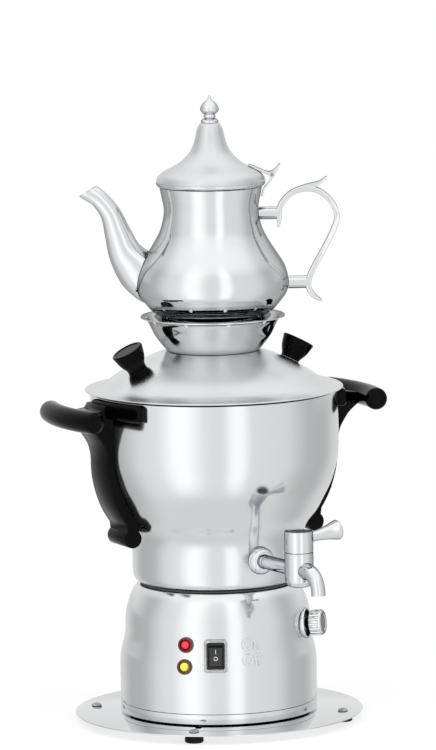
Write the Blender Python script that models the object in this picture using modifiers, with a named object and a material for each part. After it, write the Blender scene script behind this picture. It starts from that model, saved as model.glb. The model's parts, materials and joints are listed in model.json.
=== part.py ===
"""Electric samovar with a lever tap and a teapot that stands on its lid.

Lengths are in metres and +Z is up. The samovar stands on Z = 0. The tap points to -Y and the
side handles lie along X. Turned outlines are given as shares of a radius and a height, from the
top of the outer side to its bottom.
"""

import math

import bmesh
import bpy
from mathutils import Matrix

# Fits and facets
GAP = 0.0003
MERGE = 0.00002
OVERRUN = 0.003
LARGE_STEPS = 32
POT_STEPS = 28
MIDDLE_STEPS = 20
SMALL_STEPS = 12

# Directions round the axis, in degrees from the tap towards +X
SWITCH_SIDE = -32.6
LAMP_SIDE = -51.0
DIAL_SIDE = 41.5
REAR_SIDE = 180.0
FOOT_SIDES = (47.5, 137.5, -132.5, -42.5)
TEAPOT_TURN = -31.0
HANDLE_TURN = -4.0
LID_TURN = -10.0

# Foot plate, rubber feet and their screws
PLATE_MARGIN = 0.0380
PLATE_THICK = 0.0010
FOOT_RADIUS = 0.0077
FOOT_HEIGHT = 0.0070
FOOT_EDGE = 0.0008
FOOT_INSET = 0.0150
FOOT_SCREW_RADIUS = 0.0020
FOOT_SCREW_DEPTH = 0.0055
FOOT_SCREW_HEAD_RADIUS = 0.0042
FOOT_SCREW_HEAD_HEIGHT = 0.0020

# Base: floor, trim ring and shell
BASE_HEIGHT = 0.0975
BASE_WALL = 0.0010
BASE_LIFT = 0.0015
BASE_SHARES = (
    (0.730, 1.000),
    (0.806, 1.000),
    (0.815, 0.994),
    (0.862, 0.941),
    (0.900, 0.863),
    (0.929, 0.778),
    (0.941, 0.680),
    (0.944, 0.585),
    (0.971, 0.480),
    (0.992, 0.405),
    (1.000, 0.320),
    (1.000, 0.000),
)
RING_HEIGHT = 0.0084
RING_WALL = 0.0026
RING_LEDGE = 0.0100
RING_LEDGE_THICK = 0.0012
RING_EDGE = 0.0006
FLOOR_THICK = 0.0012
FLOOR_PAD_MARGIN = 0.0080
CENTRE_BOLT_RADIUS = 0.0030
CENTRE_BOLT_HEAD_RADIUS = 0.0060
CENTRE_BOLT_HEAD_HEIGHT = 0.0032
GASKET_HEIGHT = 0.0020
GASKET_SHARE = 0.784
GASKET_BORE_SHARE = 0.732

# Vessel, and the share of its radius that the base has
VESSEL_RADIUS = 0.103
BASE_SHARE = 0.7961
VESSEL_HEIGHT = 0.1597
VESSEL_WALL = 0.0010
VESSEL_SHARES = (
    (1.000, 1.000),
    (1.000, 0.728),
    (0.993, 0.649),
    (0.972, 0.582),
    (0.934, 0.507),
    (0.873, 0.428),
    (0.810, 0.354),
    (0.756, 0.307),
    (0.715, 0.262),
    (0.688, 0.205),
    (0.682, 0.140),
    (0.681, 0.059),
    (0.670, 0.022),
    (0.644, 0.004),
    (0.610, 0.000),
)

# Heating element, its nuts and the boil-dry cut-out
ELEMENT_RADIUS = 0.0036
ELEMENT_RING_SHARE = 0.437
ELEMENT_LIFT = 0.0125
ELEMENT_BEND = 0.0060
ELEMENT_TAIL = 0.0120
ELEMENT_SIDES = (205.0, 515.0)
ELEMENT_STEPS = 18
ELEMENT_NUT_RADIUS = 0.0082
ELEMENT_NUT_HEIGHT = 0.0050
CUTOUT_RADIUS = 0.0085
CUTOUT_HEIGHT = 0.0090
TERMINAL_LENGTH = 0.036
TERMINAL_DEPTH = 0.014
TERMINAL_HEIGHT = 0.012
TERMINAL_BACK = 0.030

# Lid of the vessel, its knobs and the teapot stand
LID_OVERHANG = 0.0042
LID_HEIGHT = 0.0330
LID_WALL = 0.0010
LID_SHARES = (
    (0.280, 1.000),
    (0.351, 0.979),
    (0.434, 0.906),
    (0.569, 0.722),
    (0.713, 0.470),
    (0.828, 0.212),
    (0.875, 0.118),
    (0.925, 0.061),
    (1.000, 0.034),
)
SKIRT_CLEARANCE = 0.0008
SKIRT_DEPTH = 0.0070
KNOB_CIRCLE_SHARE = 0.6343
KNOB_RADIUS = 0.0135
KNOB_HEIGHT = 0.0182
KNOB_SINK = 0.0030
KNOB_SHARES = (
    (0.000, 1.000),
    (0.900, 1.000),
    (0.985, 0.965),
    (0.985, 0.900),
    (0.920, 0.670),
    (0.830, 0.440),
    (0.720, 0.270),
    (0.590, 0.090),
    (0.570, 0.000),
)
STAND_SHARE = 0.5569
STAND_HEIGHT = 0.0271
STAND_WALL = 0.0010
STAND_SHARES = (
    (1.000, 1.000),
    (0.945, 0.967),
    (0.884, 0.830),
    (0.799, 0.461),
    (0.715, 0.214),
    (0.640, 0.020),
    (0.561, 0.000),
)
STAND_HOLES = 10
STAND_HOLE_RADIUS = 0.0019
STAND_HOLE_CIRCLE_SHARE = 0.945

# Teapot
POT_SHARE = 1.062
POT_HEIGHT = 0.1290
POT_WALL = 0.0008
POT_SHARES = (
    (0.706, 1.000),
    (0.715, 0.992),
    (0.701, 0.977),
    (0.670, 0.966),
    (0.648, 0.910),
    (0.621, 0.840),
    (0.624, 0.780),
    (0.669, 0.693),
    (0.730, 0.633),
    (0.798, 0.577),
    (0.921, 0.483),
    (0.974, 0.424),
    (1.000, 0.352),
    (0.980, 0.290),
    (0.915, 0.240),
    (0.798, 0.173),
    (0.677, 0.129),
    (0.660, 0.070),
    (0.664, 0.028),
    (0.700, 0.000),
)
POT_LID_SHARE = 0.7145
POT_LID_HEIGHT = 0.0483
POT_LID_WALL = 0.0008
POT_LID_SHARES = (
    (0.044, 1.000),
    (0.163, 1.000),
    (0.203, 0.959),
    (0.241, 0.872),
    (0.274, 0.737),
    (0.322, 0.602),
    (0.404, 0.470),
    (0.556, 0.333),
    (0.695, 0.255),
    (0.830, 0.190),
    (0.932, 0.126),
    (0.980, 0.062),
    (1.000, 0.000),
)
FINIAL_RADIUS = 0.0077
FINIAL_HEIGHT = 0.0231
FINIAL_STUD_RADIUS = 0.0014
FINIAL_STUD_LENGTH = 0.0050
FINIAL_SHARES = (
    (0.000, 1.000),
    (0.130, 0.932),
    (0.247, 0.812),
    (0.727, 0.671),
    (1.000, 0.504),
    (0.896, 0.380),
    (0.584, 0.286),
    (0.649, 0.201),
    (0.584, 0.150),
    (0.922, 0.073),
    (0.922, 0.000),
)

# Spout: reach, height and radius along its middle line, as shares of the teapot
SPOUT_WALL = 0.0010
SPOUT_WIDTH_SHARE = 0.82
SPOUT_SHARES = (
    (0.710, 0.365, 0.290),
    (0.820, 0.392, 0.292),
    (0.978, 0.451, 0.271),
    (1.128, 0.547, 0.216),
    (1.216, 0.665, 0.177),
    (1.309, 0.798, 0.136),
    (1.453, 0.895, 0.118),
    (1.600, 0.948, 0.122),
)
SPOUT_ANGLE = 36.0
STRAINER_RADIUS = 0.0135
STRAINER_THICK = 0.0006
STRAINER_HOLES = 6
STRAINER_HOLE_RADIUS = 0.0014
STRAINER_HOLE_CIRCLE = 0.0068
SPOUT_HOLE_RADIUS = 0.0110

# Teapot handle: reach, height and half thickness, as shares of the teapot
HANDLE_WIDTH = 0.0100
HANDLE_EDGE = 0.0011
HANDLE_SHARES = (
    (0.871, 0.700, 0.011),
    (0.886, 0.748, 0.030),
    (0.888, 0.812, 0.035),
    (0.943, 0.867, 0.035),
    (1.069, 0.923, 0.035),
    (1.238, 0.945, 0.036),
    (1.404, 0.929, 0.035),
    (1.543, 0.874, 0.035),
    (1.625, 0.805, 0.035),
    (1.637, 0.745, 0.035),
    (1.587, 0.672, 0.035),
    (1.461, 0.551, 0.035),
    (1.333, 0.441, 0.035),
    (1.265, 0.364, 0.036),
    (1.260, 0.305, 0.035),
    (1.325, 0.253, 0.030),
    (1.427, 0.221, 0.012),
)
HORN_SHARES = (
    (1.104, 0.931, 0.030),
    (1.230, 0.953, 0.035),
    (1.364, 0.970, 0.030),
    (1.451, 0.990, 0.020),
    (1.508, 1.019, 0.009),
)
POST_RADIUS = 0.0045
UPPER_POST_SHARES = (0.560, 0.900, 0.790)
LOWER_POST_SHARES = (0.900, 1.260, 0.342)

# Hinge of the teapot lid
HINGE_SHARE = 0.7997
HINGE_HEIGHT = 0.0049
HINGE_RADIUS = 0.0028
HINGE_PIN_RADIUS = 0.0011
HINGE_PIN_LENGTH = 0.0106
HINGE_WIDTH = 0.0096
KNUCKLE_WIDTH = 0.0040
HINGE_BRACKET_SHARES = (
    (-3.00, -6.60, 0.34),
    (-2.35, -4.30, 0.34),
    (-0.98, -2.70, 0.36),
    (-0.30, -1.50, 0.42),
    (0.00, -0.50, 0.55),
)
TAB_SHARES = (
    (-6.80, 2.90, 0.20),
    (-4.70, 1.90, 0.34),
    (-2.90, 1.05, 0.38),
    (-1.50, 0.45, 0.46),
    (0.00, 0.35, 0.56),
    (1.05, 1.15, 0.46),
    (2.40, 3.05, 0.20),
)

# Tap: places from the vessel's wall and bottom, and from the pipe
TAP_STANDOFF = 0.0270
TAP_RADIUS = 0.0118
TAP_DEPTH = 0.0143
TAP_RISE = 0.0150
TAP_CHEEK = 0.0045
PIPE_LIFT = 0.0240
PIPE_RADIUS = 0.0058
PIPE_BORE = 0.0035
PIPE_INNER_SHARE = 0.5825
SPOUT_OUTLET_REACH = 0.0290
SPOUT_OUTLET_DROP = 0.0170
SPOUT_TUBE_RADIUS = 0.0058
TAP_SPOUT_SHARES = (
    (0.00, 0.00, 1.30),
    (0.36, 0.04, 1.22),
    (0.66, -0.04, 1.10),
    (0.88, -0.30, 1.02),
    (0.98, -0.66, 1.00),
    (1.00, -1.00, 1.00),
)
PLUG_RADIUS = 0.0072
PLUG_DEPTH = 0.0050
STEM_RADIUS = 0.0040
HEAD_HEIGHT = 0.0174
HEAD_EDGE = 0.0008
HEAD_RECESS_RADIUS = 0.0092
HEAD_RECESS_DEPTH = 0.0015
HEAD_SOCKET_DEPTH = 0.0105
DISC_THICK = 0.0010
LEVER_LENGTH = 0.0390
LEVER_RADIUS = 0.0082
LEVER_TILT = 8.0
LEVER_ROOT = 0.0094
LEVER_HEIGHT_SHARE = 0.55
LEVER_SHARES = (
    (0.00, 1.000),
    (0.84, 0.990),
    (1.00, 0.950),
    (0.95, 0.870),
    (0.74, 0.640),
    (0.56, 0.330),
    (0.53, 0.000),
)
FLANGE_RADIUS = 0.0114
FLANGE_DEPTH = 0.0062
FLANGE_SINK = 0.0030
FLANGE_SHARES = (
    (0.66, 1.00),
    (0.84, 0.70),
    (0.98, 0.30),
    (1.00, 0.05),
)
TAP_NUT_RADIUS = 0.0095
TAP_NUT_THICK = 0.0045
TAP_NUT_INSET = 0.0012

# Side handles
BRACKET_WIDTH = 0.0340
BRACKET_EDGE = 0.0006
BRACKET_DROP = 0.0046
BRACKET_LENGTH = 0.1126
BRACKET_REACH = 0.0400
BRACKET_SHARES = (
    (0.163, 1.000),
    (0.225, 0.963),
    (0.575, 0.946),
    (0.840, 0.936),
    (0.840, 0.887),
    (0.638, 0.868),
    (0.400, 0.807),
    (0.270, 0.750),
    (0.160, 0.683),
    (0.108, 0.600),
    (0.103, 0.527),
    (0.088, 0.452),
    (0.050, 0.379),
    (-0.008, 0.306),
    (-0.085, 0.233),
    (-0.195, 0.159),
    (-0.303, 0.100),
    (-0.325, 0.044),
    (-0.445, 0.000),
    (-0.475, 0.048),
)
INNER_LEVEL_SHARES = (0.100, 0.250, 0.450, 0.700)
HEEL_RADIUS = 0.0078
HEEL_REACH = -0.0178
TOE_RADIUS = 0.0055
TOE_REACH = -0.0186
TOE_RISE = 0.0086
WING_SPAN = 29.5
WING_STEPS = 8
WING_THICK = 0.0060
WING_HEIGHT = 0.0145
WING_DROP = -0.0030
GRIP_RADIUS = 0.00925
GRIP_LENGTH = 0.0900
GRIP_REACH = 0.0336
GRIP_BOW = 0.0070
GRIP_DROP = 0.0095
GRIP_STEPS = 8
GRIP_END_SHARES = ((1.00, 0.42), (0.985, 0.72), (0.955, 0.93), (0.91, 1.00))
HANDLE_SCREW_RADIUS = 0.0020
HANDLE_SCREW_LENGTH = 0.0140
HANDLE_SCREW_HEAD = 0.0040
HANDLE_SCREW_HEAD_THICK = 0.0020
HANDLE_SCREW_DROP = 0.0130

# Thermostat, its dial and knob
DIAL_HEIGHT = 0.0835
DIAL_RADIUS = 0.0119
DIAL_LIP = 0.0017
DIAL_LIP_RISE = 0.0012
DIAL_DEPTH = 0.0028
DIAL_FLOOR = 0.0010
DIAL_DISC_RADIUS = 0.0106
DIAL_DISC_THICK = 0.0010
BUSH_RADIUS = 0.0048
BUSH_FRONT = 0.0008
SPINDLE_RADIUS = 0.0029
THERMOSTAT_RADIUS = 0.0150
THERMOSTAT_BACK = 0.0340
THERMOSTAT_FRONT = 0.0120
DIAL_KNOB_RADIUS = 0.0107
DIAL_KNOB_BACK = 0.0046
DIAL_KNOB_LENGTH = 0.0104
DIAL_HUB_RADIUS = 0.0046
DIAL_KNOB_SHARES = (
    (0.00, 1.00),
    (0.76, 0.98),
    (0.91, 0.90),
    (1.00, 0.76),
    (1.00, 0.14),
    (0.93, 0.00),
)
SPINDLE_IN_KNOB_SHARE = 0.50

# Switch
SWITCH_HEIGHT = 0.0667
FRAME_WIDTH = 0.0195
FRAME_HEIGHT = 0.0275
FRAME_RISE = 0.0014
FRAME_EDGE = 0.0007
SINK = 0.0016
SWITCH_WIDTH = 0.0150
SWITCH_TALL = 0.0218
SWITCH_RISE = 0.0024
SWITCH_LIP = 0.0016
SWITCH_BODY_WIDTH = 0.0128
SWITCH_BODY_TALL = 0.0190
SWITCH_DEPTH = 0.0180
ROCKER_WIDTH = 0.0112
ROCKER_TALL = 0.0156
ROCKER_RUN = 0.0009
ROCKER_PIVOT = 0.0010
ROCKER_RISE = 0.0039
ROCKER_BACK = 0.0035
ROCKER_TILT = 8.0
ROCKER_SHARES = (
    (-1.00, 1.00),
    (0.00, 0.72),
    (1.00, 1.00),
    (0.95, -0.13),
    (0.38, -0.90),
    (-0.38, -0.90),
    (-0.95, -0.13),
)
POCKET_DEPTH = 0.0052

# Lamps
RED_LAMP_HEIGHT = 0.0755
AMBER_LAMP_HEIGHT = 0.0578
LAMP_RADIUS = 0.0065
LAMP_RISE = 0.0026
LAMP_BARREL_RADIUS = 0.0047
LAMP_BARREL_DEPTH = 0.0100
LENS_RADIUS = 0.0037
LENS_RISE = 0.0034
LENS_DEPTH = 0.0080

# Power inlet at the rear
INLET_HEIGHT = 0.0400
INLET_WIDTH = 0.0306
INLET_TALL = 0.0256
INLET_RISE = 0.0024
INLET_EDGE = 0.0012
INLET_BODY_WIDTH = 0.0270
INLET_BODY_TALL = 0.0206
INLET_DEPTH = 0.0200
INLET_WALL = 0.0018
INLET_FLOOR = 0.0030
BLADE_WIDTH = 0.0020
BLADE_TALL = 0.0040
BLADE_SPACING = 0.0070
BLADE_LENGTH = 0.0130


def scaled(shares, radius, bottom, height):
    """Turn shares into (radius, height) points."""
    return [(share[0] * radius, bottom + share[1] * height) for share in shares]


def radius_at(line, level):
    """Radius of a falling outline at a level."""
    for (r0, z0), (r1, z1) in zip(line, line[1:]):
        if z1 <= level <= z0 and z0 > z1:
            return r0 + (r1 - r0) * (z0 - level) / (z0 - z1)
    return line[-1][0]


def level_at(line, radius):
    """Height and slope angle of a widening outline at a radius."""
    for (r0, z0), (r1, z1) in zip(line, line[1:]):
        if r0 <= radius <= r1 and r1 > r0:
            return z0 + (z1 - z0) * (radius - r0) / (r1 - r0), math.atan2(z0 - z1, r1 - r0)
    return line[-1][1], 0.0


def moved_out(line, distance):
    """Outline moved outwards by a distance, square to itself."""
    normals = []
    for (r0, z0), (r1, z1) in zip(line, line[1:]):
        length = math.hypot(r1 - r0, z1 - z0)
        normals.append(((z0 - z1) / length, (r1 - r0) / length))
    moved = []
    for index, (r, z) in enumerate(line):
        before = normals[max(index - 1, 0)]
        after = normals[min(index, len(normals) - 1)]
        nr = before[0] + after[0]
        nz = before[1] + after[1]
        reach = 2.0 * distance / (nr * nr + nz * nz)
        moved.append((r + nr * reach, z + nz * reach))
    return moved


def smooth(points, spans):
    """Points of a smooth curve that passes through the given ones."""
    fine = []
    last = len(points) - 1
    for index in range(last):
        a = points[max(index - 1, 0)]
        b = points[index]
        c = points[index + 1]
        d = points[min(index + 2, last)]
        for step in range(spans):
            t = step / spans
            fine.append(tuple(
                b[i] + t * (c[i] - a[i]) / 2.0
                + t * t * (2.0 * a[i] - 5.0 * b[i] + 4.0 * c[i] - d[i]) / 2.0
                + t * t * t * (3.0 * b[i] - a[i] - 3.0 * c[i] + d[i]) / 2.0
                for i in range(len(b))
            ))
    fine.append(tuple(points[last]))
    return fine


def band(points):
    """Closed outline round a middle line of (x, z, half thickness) points."""
    left = []
    right = []
    last = len(points) - 1
    for index, (x, z, half) in enumerate(points):
        x0, z0 = points[max(index - 1, 0)][:2]
        x1, z1 = points[min(index + 1, last)][:2]
        length = math.hypot(x1 - x0, z1 - z0)
        nx = (z0 - z1) / length * half
        nz = (x1 - x0) / length * half
        left.append((x + nx, z + nz))
        right.append((x - nx, z - nz))
    return left + right[::-1]


def clear_scene():
    for thing in list(bpy.data.objects):
        bpy.data.objects.remove(thing)


def new_collection(name):
    collection = bpy.data.collections.new(name)
    bpy.context.scene.collection.children.link(collection)
    return collection


def finish(name, colour, roughness, metallic):
    """Principled material with an sRGB colour written as hex."""
    material = bpy.data.materials.new(name)
    material.use_nodes = True
    shader = material.node_tree.nodes["Principled BSDF"]
    channels = [int(colour[i:i + 2], 16) / 255.0 for i in (0, 2, 4)]
    linear = [c / 12.92 if c <= 0.04045 else ((c + 0.055) / 1.055) ** 2.4 for c in channels]
    shader.inputs["Base Color"].default_value = (*linear, 1.0)
    shader.inputs["Roughness"].default_value = roughness
    shader.inputs["Metallic"].default_value = metallic
    material.diffuse_color = (*linear, 1.0)
    return material


def empty(name, parent, location=(0.0, 0.0, 0.0), rotation=(0.0, 0.0, 0.0)):
    """Empty that carries pieces, for instance on a joint axis."""
    holder = bpy.data.objects.new(name, None)
    PARTS.objects.link(holder)
    return put(holder, parent, location, rotation)


def put(piece, parent, location=(0.0, 0.0, 0.0), rotation=(0.0, 0.0, 0.0)):
    piece.parent = parent
    piece.location = location
    piece.rotation_euler = rotation
    return piece


def add(name, mesh, material):
    piece = bpy.data.objects.new(name, mesh)
    PARTS.objects.link(piece)
    if material:
        mesh.materials.append(material)
    return piece


def turned(name, outline, material=None, steps=SMALL_STEPS, closed=False, wall=0.0):
    """Turn an outline of (radius, height) points about the local Z axis."""
    mesh = bpy.data.meshes.new(name)
    edges = [(i, i + 1) for i in range(len(outline) - 1)]
    if closed:
        edges.append((len(outline) - 1, 0))
    mesh.from_pydata([(r, 0.0, z) for r, z in outline], edges, [])
    piece = add(name, mesh, material)
    screw = piece.modifiers.new("Turn", "SCREW")
    screw.steps = steps
    screw.render_steps = steps
    screw.use_merge_vertices = True
    screw.merge_threshold = MERGE
    if wall:
        shell = piece.modifiers.new("Wall", "SOLIDIFY")
        shell.thickness = wall
        shell.offset = -1.0
        shell.use_even_offset = True
    return piece


def rod(name, radius, low, high, material=None, steps=SMALL_STEPS):
    """Cylinder along the local Z axis."""
    return turned(name, [(0.0, high), (radius, high), (radius, low), (0.0, low)], material, steps)


def sleeve(name, radius, bore, low, high, material=None, steps=SMALL_STEPS):
    """Ring of plain section round the local Z axis."""
    outline = [(radius, high), (radius, low), (bore, low), (bore, high)]
    return turned(name, outline, material, steps, closed=True)


def jacket(name, line, steps):
    """Solid inside an outline, larger than it by the gap."""
    outer = moved_out(line, GAP)
    return turned(name, [(0.0, outer[0][1])] + outer + [(0.0, outer[-1][1])], None, steps)


def box(name, size, centre, material=None):
    mesh = bpy.data.meshes.new(name)
    shape = bmesh.new()
    place = Matrix.Translation(centre) @ Matrix.Diagonal((*size, 1.0))
    bmesh.ops.create_cube(shape, size=1.0, matrix=place)
    shape.to_mesh(mesh)
    shape.free()
    return add(name, mesh, material)


def meshed(piece, material):
    """Make a curve object a mesh whose caps are welded."""
    graph = bpy.context.evaluated_depsgraph_get()
    mesh = bpy.data.meshes.new_from_object(piece.evaluated_get(graph))
    shape = bmesh.new()
    shape.from_mesh(mesh)
    bmesh.ops.remove_doubles(shape, verts=shape.verts, dist=MERGE)
    shape.to_mesh(mesh)
    shape.free()
    name = piece.name
    curve = piece.data
    bpy.data.objects.remove(piece)
    bpy.data.curves.remove(curve)
    mesh.materials.clear()
    return add(name, mesh, material)


def tube(name, route, material=None, resolution=2):
    """Round tube with flat ends along (x, y, z, radius) points."""
    depth = max(point[3] for point in route)
    curve = bpy.data.curves.new(name, "CURVE")
    curve.dimensions = "3D"
    curve.bevel_depth = depth
    curve.bevel_resolution = resolution
    curve.use_fill_caps = True
    spline = curve.splines.new("POLY")
    spline.points.add(len(route) - 1)
    for point, (x, y, z, radius) in zip(spline.points, route):
        point.co = (x, y, z, 1.0)
        point.radius = radius / depth
    piece = bpy.data.objects.new(name, curve)
    PARTS.objects.link(piece)
    piece = meshed(piece, material)
    piece.data.shade_smooth()
    return piece


def slab(name, outline, thickness, material=None, upright=True):
    """Flat outline of given thickness, in the local XZ plane when upright, otherwise in XY."""
    curve = bpy.data.curves.new(name, "CURVE")
    curve.dimensions = "2D"
    curve.fill_mode = "BOTH"
    curve.extrude = thickness / 2.0
    spline = curve.splines.new("POLY")
    spline.points.add(len(outline) - 1)
    for point, (x, y) in zip(spline.points, outline):
        point.co = (x, y, 0.0, 1.0)
    spline.use_cyclic_u = True
    piece = bpy.data.objects.new(name, curve)
    PARTS.objects.link(piece)
    piece = meshed(piece, material)
    if upright:
        piece.data.transform(Matrix.Rotation(math.pi / 2.0, 4, "X"))
    return piece


def rounded(piece, width, segments=1):
    """Round the sharp edges of a piece."""
    bevel = piece.modifiers.new("Edge", "BEVEL")
    bevel.width = width
    bevel.segments = segments
    bevel.limit_method = "ANGLE"
    bevel.angle_limit = math.radians(40.0)
    bevel.harden_normals = False
    return piece


def combine(piece, other, operation, frame=None):
    """Boolean with another shape, whose place is given in the piece's own frame or in another."""
    change = piece.modifiers.new(operation.title(), "BOOLEAN")
    change.operation = operation
    change.object = other
    change.solver = "EXACT"
    other.parent = frame or piece
    PARTS.objects.unlink(other)
    CUTTERS.objects.link(other)
    other.hide_render = True
    other.display_type = "WIRE"
    return piece


def cut(piece, other, frame=None):
    return combine(piece, other, "DIFFERENCE", frame)


def join(piece, other, frame=None):
    return combine(piece, other, "UNION", frame)


def direction(side):
    """Unit vector that points away from the axis at an angle from the tap."""
    angle = math.radians(side)
    return math.sin(angle), -math.cos(angle)


def on_wall(line, side, level, half):
    """Place and turn on a turned wall, with local Z square to it and local Y up."""
    above = radius_at(line, level + half)
    below = radius_at(line, level - half)
    lean = math.atan2(below - above, 2.0 * half)
    radius = max(radius_at(line, level), (above + below) / 2.0)
    x, y = direction(side)
    place = (x * radius, y * radius, level)
    return place, (math.pi / 2.0 - lean, 0.0, math.radians(side))


def moved(piece, location, rotation=(0.0, 0.0, 0.0)):
    piece.location = location
    piece.rotation_euler = rotation
    return piece


clear_scene()
PARTS = new_collection("samovar")
CUTTERS = new_collection("cutters")

MIRROR_STEEL = finish("mirror_polished_steel", "D9DADB", 0.06, 1.0)
SATIN_STEEL = finish("satin_stainless_steel", "CBCCCD", 0.24, 1.0)
LID_STEEL = finish("matt_brushed_steel", "C9CACB", 0.38, 1.0)
CHROME = finish("chromed_brass", "E0E1E2", 0.05, 1.0)
PLATED_STEEL = finish("zinc_plated_steel", "A9ABAD", 0.35, 1.0)
BLACK_RESIN = finish("black_bakelite", "0B0B0C", 0.18, 0.0)
BLACK_NYLON = finish("black_nylon", "1B1B1C", 0.38, 0.0)
BLACK_RUBBER = finish("black_rubber", "161616", 0.70, 0.0)
CLEAR_FRAME = finish("clear_splash_frame", "C4C6C8", 0.20, 0.0)
BROWN_BEZEL = finish("dark_brown_bezel", "4A2410", 0.30, 0.0)
MAROON_BEZEL = finish("dark_red_bezel", "5A0F1A", 0.30, 0.0)
RED_LENS = finish("red_lens", "D8202A", 0.15, 0.0)
AMBER_LENS = finish("amber_lens", "F0D84A", 0.15, 0.0)
CERAMIC = finish("white_ceramic", "E6E2D8", 0.50, 0.0)

# Radii that follow from the vessel's
BASE_RADIUS = VESSEL_RADIUS * BASE_SHARE
PLATE_RADIUS = BASE_RADIUS + PLATE_MARGIN
FOOT_CIRCLE = PLATE_RADIUS - FOOT_INSET
FLOOR_PAD_RADIUS = BASE_RADIUS - RING_LEDGE - FLOOR_PAD_MARGIN
GASKET_RADIUS = BASE_RADIUS * GASKET_SHARE
GASKET_BORE = BASE_RADIUS * GASKET_BORE_SHARE
ELEMENT_RING_RADIUS = VESSEL_RADIUS * ELEMENT_RING_SHARE
LID_RADIUS = VESSEL_RADIUS + LID_OVERHANG
SKIRT_RADIUS = VESSEL_RADIUS - VESSEL_WALL - SKIRT_CLEARANCE
KNOB_CIRCLE = LID_RADIUS * KNOB_CIRCLE_SHARE
STAND_RADIUS = LID_RADIUS * STAND_SHARE
POT_RADIUS = STAND_RADIUS * POT_SHARE
POT_LID_RADIUS = POT_RADIUS * POT_LID_SHARE
HINGE_REACH = POT_RADIUS * HINGE_SHARE
TAP_CENTRE = VESSEL_RADIUS + TAP_STANDOFF
PIPE_INNER_END = VESSEL_RADIUS * PIPE_INNER_SHARE

# Levels that follow from the pieces below them
PLATE_BOTTOM = FOOT_HEIGHT + GAP
PLATE_TOP = PLATE_BOTTOM + PLATE_THICK
RING_BOTTOM = PLATE_TOP + BASE_LIFT
RING_TOP = RING_BOTTOM + RING_HEIGHT
BASE_BOTTOM = RING_TOP + GAP
BASE_TOP = BASE_BOTTOM + BASE_HEIGHT
FLOOR_BOTTOM = RING_BOTTOM + RING_LEDGE_THICK + GAP
FLOOR_TOP = FLOOR_BOTTOM + FLOOR_THICK
VESSEL_BOTTOM = BASE_TOP + GASKET_HEIGHT + GAP + GAP
VESSEL_TOP = VESSEL_BOTTOM + VESSEL_HEIGHT
PIPE_HEIGHT = VESSEL_BOTTOM + PIPE_LIFT
TAP_BOTTOM = PIPE_HEIGHT - TAP_DEPTH
TAP_TOP = PIPE_HEIGHT + TAP_RISE
LID_BOTTOM = VESSEL_TOP + GAP
BASE_LINE = scaled(BASE_SHARES, BASE_RADIUS, BASE_BOTTOM, BASE_HEIGHT)
VESSEL_LINE = scaled(VESSEL_SHARES, VESSEL_RADIUS, VESSEL_BOTTOM, VESSEL_HEIGHT)
LID_LINE = scaled(LID_SHARES, LID_RADIUS, LID_BOTTOM, LID_HEIGHT)
STAND_SEAT = STAND_SHARES[-1][0] * STAND_RADIUS
STAND_BOTTOM = level_at(LID_LINE, STAND_SEAT)[0] + GAP
STAND_LINE = scaled(STAND_SHARES, STAND_RADIUS, STAND_BOTTOM, STAND_HEIGHT)
BOWL_LINE = moved_out(STAND_LINE, -STAND_WALL)[::-1]
POT_FOOT = (POT_SHARES[-1][0] * POT_RADIUS + GAP) / math.cos(math.pi / LARGE_STEPS)
POT_BOTTOM = level_at(BOWL_LINE, POT_FOOT)[0]
POT_LINE = scaled(POT_SHARES, POT_RADIUS, POT_BOTTOM, POT_HEIGHT)
POT_TOP = POT_BOTTOM + POT_HEIGHT
POT_LID_LINE = scaled(POT_LID_SHARES, POT_LID_RADIUS, POT_TOP + GAP, POT_LID_HEIGHT)
TAP_FRONT = TAP_CENTRE + SPOUT_OUTLET_REACH + SPOUT_TUBE_RADIUS
AXIS_Y = (TAP_FRONT - PLATE_RADIUS) / 2.0

# Frames that carry the pieces, and the empties on the joint axes
AXIS = empty("samovar_axis", None, (0.0, AXIS_Y, 0.0))
LID_LIFT = empty("lid_lift_axis", AXIS)
POT_LIFT = empty("teapot_lift_axis", LID_LIFT, rotation=(0.0, 0.0, math.radians(TEAPOT_TURN)))
HINGE_LEVEL = POT_TOP + GAP + HINGE_HEIGHT
POT_HINGE = empty("teapot_hinge_axis", POT_LIFT, (HINGE_REACH, 0.0, HINGE_LEVEL))
TAP_AXIS = empty("tap_lever_axis", AXIS, (0.0, -TAP_CENTRE, 0.0))
DIAL_PLACE = on_wall(BASE_LINE, DIAL_SIDE, DIAL_HEIGHT, DIAL_RADIUS)
DIAL_AXIS = empty("thermostat_axis", AXIS, *DIAL_PLACE)
SWITCH_PLACE = on_wall(BASE_LINE, SWITCH_SIDE, SWITCH_HEIGHT, FRAME_HEIGHT / 2.0)
SWITCH_FRAME = empty("switch_place", AXIS, *SWITCH_PLACE)
ROCKER_AXIS = empty("rocker_axis", SWITCH_FRAME, (0.0, 0.0, -ROCKER_PIVOT))


def base_jacket():
    return jacket("wall_trim", BASE_LINE[2:], LARGE_STEPS)


def foot_plate():
    """Thin round plate with holes for the foot screws and the centre bolt."""
    plate = rod("foot_plate", PLATE_RADIUS, PLATE_BOTTOM, PLATE_TOP, MIRROR_STEEL, LARGE_STEPS + 16)
    put(plate, AXIS)
    low = PLATE_BOTTOM - OVERRUN
    high = PLATE_TOP + OVERRUN
    for side in FOOT_SIDES:
        x, y = direction(side)
        hole = rod("foot_hole", FOOT_SCREW_RADIUS + GAP, low, high)
        cut(plate, moved(hole, (x * FOOT_CIRCLE, y * FOOT_CIRCLE, 0.0)))
    cut(plate, rod("centre_hole", CENTRE_BOLT_RADIUS + GAP, low, high))


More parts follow.
